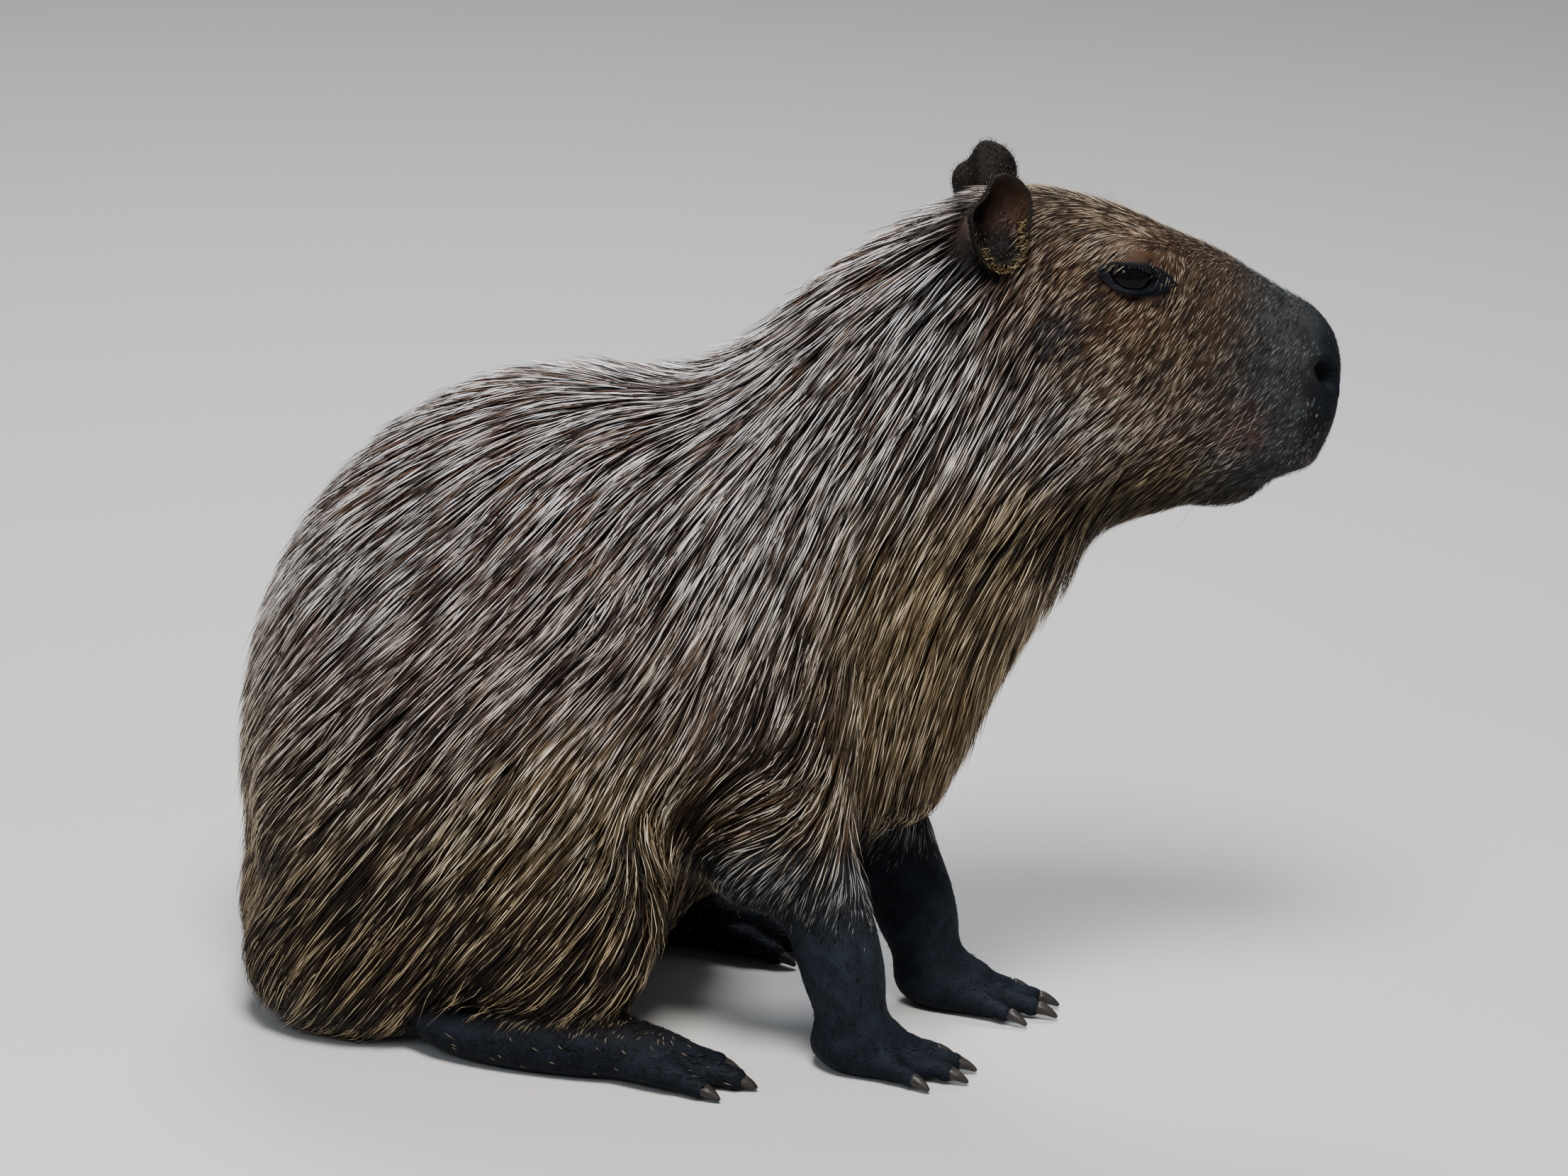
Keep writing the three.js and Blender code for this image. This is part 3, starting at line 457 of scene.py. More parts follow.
def sculpt_muzzle(places, normals):
    """Nostrils, the cleft between them, the line of the mouth and the lips round it."""
    x, y, z = places.T
    side = np.where(y >= 0, 1.0, -1.0)
    away = places - on_side(NOSTRIL, side)
    slant = math.radians(38)
    out = away[:, 1] * side * 0.8 - away[:, 0] * 0.6
    long_way = away[:, 2] * math.cos(slant) + out * math.sin(slant)
    short_way = out * math.cos(slant) - away[:, 2] * math.sin(slant)
    oval = np.hypot(long_way / 13, short_way / (6.6 + 0.14 * long_way))
    hole = -10 * smoothstep(-oval, -1.0, -0.6)
    rim = 1.8 * np.exp(-(((oval - 1.35) / 0.3) ** 2))
    lift = (hole + rim) * (x > 300)
    lift = lift + 4.5 * np.exp(-(((z - 420) / 22) ** 2)) * smoothstep(x, 296, 318)
    cleft = np.exp(-((y / 1.8) ** 2)) * smoothstep(x, 318, 326)
    lift = lift - 1.6 * cleft * smoothstep(-z, -462, -452)
    apart = z - mouth_height(x)
    groove = -4.2 * np.exp(-((apart / 1.7) ** 2))
    lips = 1.5 * np.exp(-(((np.abs(apart) - 5.5) / 3.2) ** 2))
    lift = lift + (groove + lips) * smoothstep(x + 0.12 * np.abs(y), 243, 256)
    return places + normals * lift[:, None]


normals, _ = slope_at(places)
places = sculpt_muzzle(places, normals)
head_part = (behind_nape(places) < 0) & (np.abs(places[:, 1]) > 24) & near_eye(places)
places[head_part] = sculpt_lids(places[head_part])
places[:, 2] = np.maximum(places[:, 2], 0)

# The ears are small, round and fleshy, with a rolled rim, a notch in the rear edge and a deep cup
EAR_ROOT = np.array([121.0, 51, 534])
EAR_OUTWARDS = Matrix.Rotation(math.radians(16), 3, "X")
EAR_TURN = np.array(Matrix.Rotation(math.radians(-14), 3, "Z") @ EAR_OUTWARDS)
EAR_MIDDLE = np.array([0.0, 17.0])
EAR_EDGE = [
    (1, 49), (11, 46), (18, 38), (20, 29), (19, 20), (15, 9), (10, -3), (-2, -9),
    (-13, -7), (-18, 3), (-20, 13), (-21, 22), (-18, 29), (-12, 34), (-8, 40), (-5, 46),
]
EAR_PROFILE = [
    (0, -11), (0.3, -10), (0.55, -7), (0.74, -2), (0.86, 3), (0.93, 6), (0.98, 6.6), (1.0, 5),
    (0.99, 2), (0.95, -1), (0.86, -5), (0.66, -10), (0.4, -15), (0.2, -18), (0, -19),
]
EAR_AROUND = 64


def smooth_ring(points, count):
    """A closed smooth ring through points."""
    points = np.array(points, float)
    n = len(points)
    ring = []
    for i in range(count):
        place = i * n / count
        k, t = int(place), place - int(place)
        a, b, c, d = (points[(k + j) % n] for j in (-1, 0, 1, 2))
        bend = (2 * a - 5 * b + 4 * c - d) * t * t + (3 * b - a - 3 * c + d) * t**3
        ring.append(0.5 * (2 * b + (c - a) * t + bend))
    return np.array(ring)


def ear_mesh(side):
    """A ball whose rows are moved to the rows of the ear."""
    bm = bmesh.new()
    rows = len(EAR_PROFILE) - 1
    bmesh.ops.create_uvsphere(bm, u_segments=EAR_AROUND, v_segments=rows, radius=1)
    in_cup = bm.verts.layers.float.new("ear")
    ring = smooth_ring(EAR_EDGE, EAR_AROUND)
    for v in bm.verts:
        row = round((1 - math.acos(max(-1, min(1, v.co.z))) / math.pi) * rows)
        angle = (math.atan2(v.co.y, v.co.x) / (2 * math.pi)) % 1
        k = round(angle * EAR_AROUND) % EAR_AROUND
        share, out = EAR_PROFILE[rows - row]
        ahead, up = EAR_MIDDLE + (ring[k] - EAR_MIDDLE) * share
        ridge = 1.6 * math.sin(3 * math.pi * share) * math.exp(-((ahead - 3) / 6) ** 2) * (out > -9)
        place = EAR_TURN @ np.array([ahead, out + ridge, up]) + EAR_ROOT
        v.co = (place[0], place[1] * side, place[2])
        v[in_cup] = 0.25 if rows - row < 2 else 0.5 if rows - row < 5 else 1
    bmesh.ops.recalc_face_normals(bm, faces=bm.faces)
    return bm


def on_left(places):
    return np.abs(places) * [0, 1, 0] + places * [1, 0, 1]


def seen_from_ear(places):
    """How far places lie ahead of, out from and above the root of the ear on their side."""
    return (on_left(places) - EAR_ROOT) @ EAR_TURN


def hollow_for_ear(places):
    """The cup of the ear goes on into the side of the head."""
    side = np.where(places[:, 1] >= 0, 1.0, -1.0)
    local = seen_from_ear(places)
    middle, half = np.array([1, 0, 15.0]), np.array([15, 17, 22.0])
    share = ((local - middle) / half)[:, [0, 2]]
    room = 1 - (share**2).sum(1)
    inner = middle[1] - half[1] * np.sqrt(np.clip(room, 0, 1))
    inside = (room > 0) & (local[:, 1] > inner) & (np.abs(local[:, 1]) < 30)
    local[inside, 1] = inner[inside]
    return on_side(local @ EAR_TURN.T + EAR_ROOT, side)


places = hollow_for_ear(places)
set_places(mesh, places)
bm = bmesh.new()
bm.from_mesh(mesh)
bmesh.ops.triangulate(bm, faces=bm.faces)
bm.verts.layers.float.new("ear")
for side in (1, -1):
    ear = ear_mesh(side)
    bmesh.ops.triangulate(ear, faces=ear.faces)
    part = mesh_of(ear, "ear")
    bm.from_mesh(part)
    bpy.data.meshes.remove(part)
bmesh.ops.recalc_face_normals(bm, faces=bm.faces)
bm.to_mesh(mesh)
bm.free()
skin_places = vertex_places(mesh)
skin_ear = np.empty(len(mesh.vertices), np.float32)
mesh.attributes["ear"].data.foreach_get("value", skin_ear)


def patch(places, at, half):
    """1 inside a rounded patch of the hide, fading to 0 round it, on both sides of the animal."""
    away = (on_left(places) - np.array(at)) / np.array(half)
    return smoothstep(-np.linalg.norm(away, axis=1), -1.5, -0.5)


def paint(colour, share, new):
    return colour + (np.array(new) - colour) * np.clip(share, 0, 1)[:, None]


def paint_patches(colour, places, patches):
    """Paints patches in turn, each with its strength, its colour, its middle and its half sizes."""
    for strength, new, at, half in patches:
        colour = paint(colour, strength * patch(places, at, half), new)
    return colour


BROWN = (0.095, 0.058, 0.035)
RED_BROWN = (0.135, 0.068, 0.038)
MAUVE_BROWN = (0.128, 0.084, 0.064)
DARK_BROWN = (0.028, 0.017, 0.008)
OCHRE = (0.215, 0.152, 0.064)
GREY_BLOND = (0.135, 0.100, 0.070)
FACE_BROWN = (0.084, 0.056, 0.035)
CREAM = (0.180, 0.125, 0.080)
OLIVE_BROWN = (0.042, 0.028, 0.012)
THROAT_BROWN = (0.085, 0.056, 0.030)
MUZZLE_BLUE = (0.066, 0.074, 0.078)
LEG_BLUE = (0.022, 0.026, 0.034)
LEG_BLACK = (0.011, 0.014, 0.020)
BLUE_BLACK = (0.006, 0.008, 0.012)
BLACK_BROWN = (0.018, 0.012, 0.009)
PINK_GREY = (0.180, 0.130, 0.110)
MOUTH_RED = (0.130, 0.058, 0.042)
BLUE_GREY = (0.046, 0.045, 0.050)
LID_BLACK = (0.003, 0.004, 0.006)
EAR_BROWN = (0.024, 0.013, 0.008)
# Painted shade deep in the cup of the ear.
EAR_CUP_SHADE = (0.004, 0.003, 0.003)
EAR_BLACK = (0.009, 0.007, 0.006)


# Patches that coat and pale tips share, as middle and half sizes
CHEST = ((104, 20, 310), (70, 100, 120))
THROAT = ((150, 60, 385), (46, 60, 40))
CHEEK_SPOT = ((160, 62, 496), (16, 24, 14))
BROW = ((190, 44, 540), (20, 16, 8))
CHIN = ((322, 0, 402), (16, 30, 22))
BODY_PATCHES = [
    (0.6, RED_BROWN, (-165, 60, 390), (100, 90, 50)),
    (0.4, GREY_BLOND, (10, 90, 320), (80, 80, 90)),
    (0.4, OCHRE, (-70, 110, 205), (80, 60, 60)),
    (0.7, OCHRE, *CHEST),
    (0.5, DARK_BROWN, (90, 60, 440), (60, 70, 60)),
]
FACE_PATCHES = [
    (0.8, THROAT_BROWN, *THROAT),
    (0.9, OLIVE_BROWN, (222, 40, 386), (70, 70, 30)),
    (0.6, RED_BROWN, (150, 50, 520), (26, 30, 22)),
    (0.5, RED_BROWN, (214, 40, 540), (44, 30, 22)),
    (0.5, RED_BROWN, (206, 56, 492), (26, 24, 14)),
    (0.5, CREAM, (188, 44, 538), (20, 16, 8)),
    (0.6, DARK_BROWN, (258, 0, 500), (34, 14, 16)),
    (0.9, BLUE_GREY, *CHEEK_SPOT),
    (0.6, BLACK_BROWN, (236, 48, 500), (12, 20, 7)),
]
NOSE_PATCHES = [
    (0.5, MOUTH_RED, (280, 38, 422), (15, 30, 22)),
    # Pale pink-grey lip front: partly its pale fuzz, partly painted rim light from behind.
    (0.35, PINK_GREY, *CHIN),
    (0.95, BLACK_BROWN, (100, 52, 524), (18, 30, 32)),
]


def markings(places):
    """The colours of hide and coat at places on the straight animal."""
    x, _, z = places.T
    colour = np.tile(np.array(BROWN), (len(places), 1))
    # Paler towards the back, darker towards the bottom and near black at the very bottom: painted light
    # from above and painted shade low on the body.
    colour = paint(colour, smoothstep(z, 190, 290) * 0.85, MAUVE_BROWN)
    colour = paint(colour, smoothstep(-z, -280, -130) * 0.95, DARK_BROWN)
    colour = paint(colour, smoothstep(-z, -110, -20) * 0.7, BLACK_BROWN)
    colour = paint_patches(colour, places, BODY_PATCHES)
    # Painted shade in the crease behind shoulder and elbow.
    colour = paint(colour, 0.85 * crease_share(places), DARK_BROWN)
    colour = paint(colour, smoothstep(-behind_nape(places), -10, 40), FACE_BROWN)
    colour = paint_patches(colour, places, FACE_PATCHES)
    dark_nose = smoothstep(x - 0.2 * (z - 440), 242, 294) * (0.5 + 0.5 * smoothstep(z, 382, 398))
    colour = paint(colour, 0.95 * dark_nose, MUZZLE_BLUE)
    black_nose = smoothstep(x - 0.15 * np.abs(z - 440), 306, 330) * smoothstep(z, 384, 400)
    colour = paint(colour, 0.95 * black_nose, BLUE_BLACK)
    colour = paint_patches(colour, places, NOSE_PATCHES)
    legs = foreleg_share(places)
    colour = paint(colour, 0.9 * smoothstep(-z, -215, -150) * legs, LEG_BLUE)
    colour = paint(colour, smoothstep(-z, -135, -80) * legs, LEG_BLACK)
    colour = paint(colour, 0.92 * smoothstep(-z, -46, -28) * (x > -225), BLUE_BLACK)
    colour = paint(colour, 0.9 * bare_share(places) * (1 - legs), BLUE_BLACK)
    return np.clip(paint(colour, lid_share(places), LID_BLACK), 0.002, 1)


def set_attribute(mesh, name, values):
    if values.ndim == 1:
        attribute = mesh.attributes.new(name, "FLOAT", "POINT")
        attribute.data.foreach_set("value", values.astype(np.float32))
    else:
        attribute = mesh.attributes.new(name, "FLOAT_COLOR", "POINT")
        rgba = np.concatenate([values, np.ones((len(values), 1))], 1)
        attribute.data.foreach_set("color", rgba.astype(np.float32).ravel())


ear_view = seen_from_ear(skin_places)
# Painted light and shade in the cup of the ear: near black deep in the hollow, and its brown skin only
# where light falls into it.
lit_cup = smoothstep(ear_view[:, 2], 8, 20) * smoothstep(ear_view[:, 0], -12, -3)
marks = paint(markings(skin_places), skin_ear > 0, EAR_BLACK)
marks = paint(marks, (skin_ear > 0) & (skin_ear < 0.6), EAR_CUP_SHADE)
marks = paint(marks, lit_cup * (np.abs(skin_ear - 0.5) < 0.1), EAR_BROWN)
marks = paint(marks, 0.6 * lit_cup * (np.abs(skin_ear - 0.25) < 0.1), EAR_BROWN)
set_attribute(mesh, "mark", marks)
set_attribute(mesh, "bare", np.maximum(bare_share(skin_places), skin_ear > 0))
set_attribute(mesh, "long", long_share(skin_places) * (skin_ear == 0))
set_places(mesh, in_frame(skin_places))
smooth_faces(mesh)


def new_material(name, roughness, specular):
    material = bpy.data.materials.new(name)
    material.use_nodes = True
    shader = material.node_tree.nodes["Principled BSDF"]
    shader.inputs["Roughness"].default_value = roughness
    shader.inputs["Specular IOR Level"].default_value = specular
    return material, material.node_tree, shader


def attribute_node(tree, name):
    node = tree.nodes.new("ShaderNodeAttribute")
    node.attribute_name = name
    return node


def feed(tree, socket, value):
    """Sets a socket, or links it where the value is another node's socket."""
    if isinstance(value, bpy.types.NodeSocket):
        tree.links.new(value, socket)
    else:
        socket.default_value = (*value, 1) if isinstance(value, tuple) else value


def mix_colour(tree, factor, first, second, blend="MIX"):
    node = tree.nodes.new("ShaderNodeMix")
    node.data_type = "RGBA"
    node.blend_type = blend
    for i, value in ((0, factor), (6, first), (7, second)):
        feed(tree, node.inputs[i], value)
    return node.outputs[2]


def noise_node(tree, scale, detail):
    coords = tree.nodes.new("ShaderNodeTexCoord")
    node = tree.nodes.new("ShaderNodeTexNoise")
    node.inputs["Scale"].default_value = scale
    node.inputs["Detail"].default_value = detail
    tree.links.new(coords.outputs["Object"], node.inputs["Vector"])
    return node.outputs["Fac"]


def math_node(tree, operation, first, second):
    node = tree.nodes.new("ShaderNodeMath")
    node.operation = operation
    feed(tree, node.inputs[0], first)
    feed(tree, node.inputs[1], second)
    return node.outputs[0]


def ramp_node(tree, factor, stops):
    node = tree.nodes.new("ShaderNodeValToRGB")
    ramp = node.color_ramp
    for i, (place, colour) in enumerate(stops):
        stop = ramp.elements[i] if i < 2 else ramp.elements.new(place)
        stop.position = place
        stop.color = (*colour, 1)
    tree.links.new(factor, node.inputs["Fac"])
    return node.outputs["Color"]


def add_bump(tree, shader, height, strength, distance):
    bump = tree.nodes.new("ShaderNodeBump")
    bump.inputs["Strength"].default_value = strength
    bump.inputs["Distance"].default_value = distance * MM
    tree.links.new(height, bump.inputs["Height"])
    tree.links.new(bump.outputs["Normal"], shader.inputs["Normal"])


def skin_material():
    """Dark and mottled, finely cracked where it is bare, and darkened by painted shade where hair
    covers it, most under the long coat.
    """
    material, tree, shader = new_material("hide", 0.68, 0.06)
    mark = attribute_node(tree, "mark").outputs["Color"]
    bare = attribute_node(tree, "bare").outputs["Fac"]
    long_coat = attribute_node(tree, "long").outputs["Fac"]
    mottle = ramp_node(tree, noise_node(tree, 90, 5), [(0.3, (0.55,) * 3), (0.7, (1.25,) * 3)])
    colour = mix_colour(tree, 1.0, mark, mottle, "MULTIPLY")
    # Painted shade: the hide is darker where hair covers it and darkest under the long coat, for the
    # shade between the hairs.
    shade = mix_colour(tree, bare, (0.30, 0.28, 0.27), (0.9, 0.9, 0.9))
    shade = mix_colour(tree, long_coat, shade, (0.17, 0.15, 0.14))
    colour = mix_colour(tree, 1.0, colour, shade, "MULTIPLY")
    tree.links.new(colour, shader.inputs["Base Color"])
    coords = tree.nodes.new("ShaderNodeTexCoord")
    cracks = tree.nodes.new("ShaderNodeTexVoronoi")
    cracks.feature = "DISTANCE_TO_EDGE"
    cracks.inputs["Scale"].default_value = 420
    tree.links.new(coords.outputs["Object"], cracks.inputs["Vector"])
    fine = math_node(tree, "MULTIPLY", noise_node(tree, 700, 4), 0.35)
    cracks_cut = math_node(tree, "MINIMUM", cracks.outputs["Distance"], 0.25)
    cracks_cut = math_node(tree, "MULTIPLY", cracks_cut, bare)
    add_bump(tree, shader, math_node(tree, "ADD", cracks_cut, fine), 0.55, 0.8)
    return material


mesh.materials.clear()
mesh.materials.append(skin_material())
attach(skin, "root")
SIDES = ("l", "r")
FLESH = ["head", "neck", "torso"] + [
    f"{part}_{side}" for part in ("ear", "foreleg", "hindleg", "forefoot", "hindfoot") for side in SIDES
]
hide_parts(*FLESH)

# The eyes: large wet balls, so dark that iris and pupil look like one. Each is a fine ball round the
# middle of its solid, with a slight bulge for the cornea, and the lids cover all but its front.
EYE_BALL = EYE_RADIUS - 0.2


def eye_material():
    material, tree, shader = new_material("eye", 0.06, 0.08)
    stops = [(0.35, (0.001, 0.001, 0.0014)), (0.75, (0.003, 0.002, 0.002))]
    colour = ramp_node(tree, noise_node(tree, 240, 4), stops)
    tree.links.new(colour, shader.inputs["Base Color"])
    return material


eye_finish = eye_material()
for name, side in (("l", 1), ("r", -1)):
    bm = bmesh.new()
    bmesh.ops.create_uvsphere(bm, u_segments=64, v_segments=40, radius=EYE_BALL * MM)
    for v in bm.verts:
        bulge = max(0.0, (v.co.y * side / MM - 11.5) / 4)
        v.co.y += side * bulge * 0.5 * MM
    middle = in_frame((EYE * [1, side, 1])[None])[0]
    bmesh.ops.rotate(bm, verts=bm.verts, cent=(0, 0, 0), matrix=Matrix.Rotation(HEAD_TURN, 3, "Z"))
    bmesh.ops.translate(bm, verts=bm.verts, vec=middle)
    eye_mesh = mesh_of(bm, f"eyeball_{name}")
    smooth_faces(eye_mesh)
    eye_mesh.materials.append(eye_finish)
    eyeball = scene_object(f"eyeball_{name}", eye_mesh)
    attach(eyeball, "root")
    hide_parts(f"eye_{name}")

# The claws: blunt horn hooves at the ends of the toes, four before and three behind on each side. Each
# is a copy of its solid with its doubles merged, rounded by subdivision.


def claw_material():
    material, tree, shader = new_material("horn", 0.45, 0.25)
    noise = noise_node(tree, 160, 4)
    colour = ramp_node(tree, noise, [(0.3, (0.008, 0.007, 0.007)), (0.75, (0.030, 0.023, 0.019))])
    tree.links.new(colour, shader.inputs["Base Color"])
    add_bump(tree, shader, noise, 0.4, 0.4)
    return material


horn = claw_material()
for name in sorted(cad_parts):
    if not name.startswith("claw_"):
        continue
    bm = bmesh.new()
    bm.from_mesh(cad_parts[name].data)
    bmesh.ops.remove_doubles(bm, verts=bm.verts, dist=0.01 * MM)
    claw_mesh = mesh_of(bm, "horn_" + name)
    claw_mesh.materials.clear()
    claw_mesh.materials.append(horn)
    claw = scene_object("horn_" + name, claw_mesh)
    round_off = claw.modifiers.new("round", "SUBSURF")
    round_off.levels = round_off.render_levels = 2
    smooth_faces(apply_modifiers(claw))
    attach(claw, "root")
    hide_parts(name)

# The coat: long coarse bristles on body and neck, shorter ones on the cheeks, and short fine hair on
# face, legs and ears. Each is a closed three-sided strand, rooted in the skin, that lies back along the
# body, rises to the level of the tips of the solids' coat and draws together with its neighbours.
# The rows of a strand: how far along each stands, and how thick it is there
LONG = np.array([[0, 0.32, 0.68, 1.0], [0.7, 1.0, 0.74, 0.0]])
SHORT = np.array([[0, 0.5, 1.0], [0.9, 0.85, 0.0]])
LONG_STRANDS, SHORT_STRANDS, EAR_HAIRS = ((57000, 48000, 3000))
PIECE_TRIANGLES = 190000
PATCH = 0.003
# Above this a strand is dark. Tips of pale, dark and other strands stand lower by these millimetres
DARK_FROM = 0.64
TIP_DROPS = (-1.6, -5.0, -3.4)
# How light the dark strands are: near black, partly the coat's own dark hairs and partly painted shade
# between the hairs.
DARK_LIGHT = 0.07
# Share of the strands that guide their neighbours, and the least pull and its spread
TUFTS = ((0.16, 0.05, 0.25), (0.03, 0.05, 0.35))
STRAY_SHARE = 0.09
STRAY_VEER = 0.9
VEER = 0.34
STRAW = (0.86, 0.72, 0.52)
PALE_ROSE = (0.94, 0.81, 0.70)
SILVER = (0.96, 0.91, 0.88)
WARM_STRAW = (0.62, 0.47, 0.27)
FACE_STRAW = (0.62, 0.50, 0.37)
DULL_OCHRE = (0.46, 0.34, 0.20)
OLIVE_TIP = (0.26, 0.19, 0.09)
LEG_GREY = (0.38, 0.38, 0.38)
MUZZLE_GREY = (0.28, 0.29, 0.29)
CREAM_TIP = (0.62, 0.52, 0.40)
# Tips of the lip front: partly its pale fuzz, partly painted rim light.
LIP_RIM_LIGHT = (0.50, 0.43, 0.38)
rng = np.random.default_rng(7)
random = rng.random


def coat_length(places):
    """How long the hair is at places, in millimetres."""
    x, _, z = places.T
    jaw = smoothstep(-x, -290, -150) * (0.3 + 0.7 * smoothstep(-z, -490, -420))
    face = 5 + 4 * smoothstep(-x, -320, -280) + 24 * jaw
    body = 58 + 8 * smoothstep(-z, -260, -90) - 8 * smoothstep(z, 380, 440)
    legs = 7 + 8 * smoothstep(z, 90, 150)
    short = face + (legs - face) * smoothstep(-z, -200, -150)
    return short + (body - short) * long_share(places) ** 1.15


def coat_width(places):
    return 0.36 + 0.62 * long_share(places) + 0.24 * smoothstep(-places[:, 0], -280, -180)


def ear_share(places):
    """1 within the cup of an ear."""
    ahead, out, up = seen_from_ear(places).T
    away = np.hypot((ahead - 1) / 17, (up - 15) / 23)
    return smoothstep(-away, -1.1, -0.95) * (np.abs(out) < 30)


def coat_density(places):
    """How many strands stand on a square millimetre, before the whole coat is scaled to its count."""
    nostril = smoothstep(-np.linalg.norm(np.abs(places) - NOSTRIL, axis=1), -17, -12)
    clear = np.maximum.reduce([lid_share(places), ear_share(places), nostril])
    return (1 - 0.72 * bare_share(places)) * (1 - clear)


def spine_tilt(places):
    """How steeply the back slopes nearest to places."""
    tilt = np.zeros(len(places))
    weight = np.zeros(len(places))
    for x, degrees, z in SPINE:
        near = 1 / (((places[:, 0] - x) ** 2 + (places[:, 2] - z) ** 2) / 900 + 1) ** 2
        tilt += near * math.radians(1) * degrees
        weight += near
    return tilt / weight


def lie_of_coat(places, normals):
    """The way that the hair points: back and down, steeply on neck and chest, down on the legs."""
    tilt = spine_tilt(places)
    x, _, z = places.T
    steep = 0.62 + 0.95 * smoothstep(x, -90, 60) - 1.05 * smoothstep(x, 110, 180)
    steep = steep + 0.55 * smoothstep(x, 190, 240) * smoothstep(z, 410, 450)
    way = np.stack([-np.cos(tilt), np.zeros(len(places)), -np.sin(tilt) - steep], 1)
    way = paint(way, foreleg_share(places) * smoothstep(-z, -190, -150), (-0.3, 0, -1.0))
    way = paint(way, patch(places, (6, 90, 180), (46, 70, 46)), (-1.0, 0, -0.65))
    way = paint(way, smoothstep(-z, -40, -20) * (x > -200), (1.0, 0, -0.2))
    wave = 0.05 * np.sin(x / 47 + z / 35) + 0.04 * np.sin(z / 29 - x / 61)
    way = unit(way - normals * (way * normals).sum(1, keepdims=True))
    across = np.cross(normals, way)
    return way * np.cos(wave)[:, None] + across * np.sin(wave)[:, None]


def skin_triangles():
    mesh.calc_loop_triangles()
    corners = np.empty(len(mesh.loop_triangles) * 3, np.int32)
    mesh.loop_triangles.foreach_get("vertices", corners)
    return corners.reshape(-1, 3)


def sow_roots(count, corners, density):
    """Random places on the skin, more where the coat is denser, and the way the skin faces there."""
    a, b, c = (skin_places[corners[:, i]] for i in range(3))
    cross = np.cross(b - a, c - a)
    area = np.linalg.norm(cross, axis=1) / 2
    weight = area * density
    chosen = rng.choice(len(area), count, p=weight / weight.sum())
    u, v = random(count), random(count)
    fold = u + v > 1
    u[fold], v[fold] = 1 - u[fold], 1 - v[fold]
    roots = a[chosen] + (b - a)[chosen] * u[:, None] + (c - a)[chosen] * v[:, None]
    return roots, cross[chosen] / np.maximum(2 * area[chosen], 1e-9)[:, None]


def grow(roots, shares, lift):
    """The middle line of each strand, and the way out of the body along it; lift raises its tip."""
    count = len(roots)
    long_coat = coat_length(roots)
    length = long_coat * (0.7 + 0.6 * random(count))
    stray = random(count) < STRAY_SHARE
    veer = (random(count) - 0.5) * np.where(stray, STRAY_VEER, VEER)
    level = lift * np.clip(long_coat / 40, 0.12, 1)
    level = level + stray * random(count) * 6.5 * np.clip(long_coat / 40, 0.2, 1)
    lines = np.empty((count, len(shares), 3))
    outs = np.empty_like(lines)
    place = roots.copy()
    normal, _ = slope_at(place)
    drop = skin_drop(roots)
    raised = np.clip(outside(roots) + drop, 0, 7)
    sinking = 0.15 + 0.35 * long_share(roots)
    for row, share in enumerate(shares):
        if row > 0:
            way = lie_of_coat(place, normal)
            across = np.cross(normal, way)
            way = way + across * (veer * (1 - 0.6 * share))[:, None]
            hangs = smoothstep(-normal[:, 2], 0.15, 0.6) * smoothstep(place[:, 2], 60, 90)
            hangs = hangs * long_share(place)
            way = paint(way, hangs, (0, 0, -1.0))
            place = place + way * (length * (share - shares[row - 1]))[:, None]
        else:
            hangs = np.zeros(count)
        rise = share**0.8
        target = -(drop + 0.8) * (1 - rise) + level * rise + raised * (1 - sinking * share)
        for _ in range(2 if row else 1):
            normal, depth = slope_at(place)
            step = np.clip(depth - target, -12, 12) * (1 - hangs)
            place = place - normal * step[:, None]
        lines[:, row] = place
        outs[:, row] = normal
    return lines, outs


def draw_together(lines, shares, guides, strength):
    """Pulls the ends of the strands towards those of the nearest guide, so that they lie in tufts."""
    tree = KDTree(len(guides))
    for i, guide in enumerate(guides):
        tree.insert(lines[guide, 0], i)
    tree.balance()
    nearest = np.array([guides[tree.find(root)[1]] for root in lines[:, 0]])
    pull = strength[:, None] * (shares**1.3)[None, :]
    return lines + (lines[nearest] - lines) * pull[:, :, None], nearest


def stand_free(roots, ways, lengths, shares, sag):
    """Hairs that stand off the body: straight at the root and bent down towards the tip."""
    lines = roots[:, None, :] + ways[:, None, :] * (lengths[:, None] * shares[None, :])[:, :, None]
    lines[:, :, 2] -= sag * lengths[:, None] * shares[None, :] ** 2
    outs = unit(np.cross(np.cross(ways, [0.05, 0.1, 1.0]), ways))
    return lines, np.repeat(outs[:, None, :], len(shares), axis=1)


def pale_chance(places):
    """How many of the strands have pale tips."""
    x, _, z = places.T
    # More pale tips high on the body and fewer low down: painted light from above and painted shade
    # below.
    chance = 0.25 + 0.09 * smoothstep(z, 240, 370) - 0.10 * smoothstep(-z, -220, -60)
    chance = chance + (0.27 - chance) * smoothstep(-behind_nape(places), -10, 40)
    chance = chance + 0.3 * patch(places, *BROW) - 0.2 * patch(places, *CHEEK_SPOT)
    # The extra pale tips on the lip front are partly its pale fuzz, partly painted rim light.
    chance = chance - 0.06 * smoothstep(x, 250, 300) + 0.4 * patch(places, *CHIN)
    # Fewer pale tips in the crease, painted shade there, and fewer on the chest.
    chance = chance * (1 - 0.8 * crease_share(places)) * (1 - 0.25 * patch(places, *CHEST))
    return np.clip(chance * (1 - bare_share(places)), 0, 1)


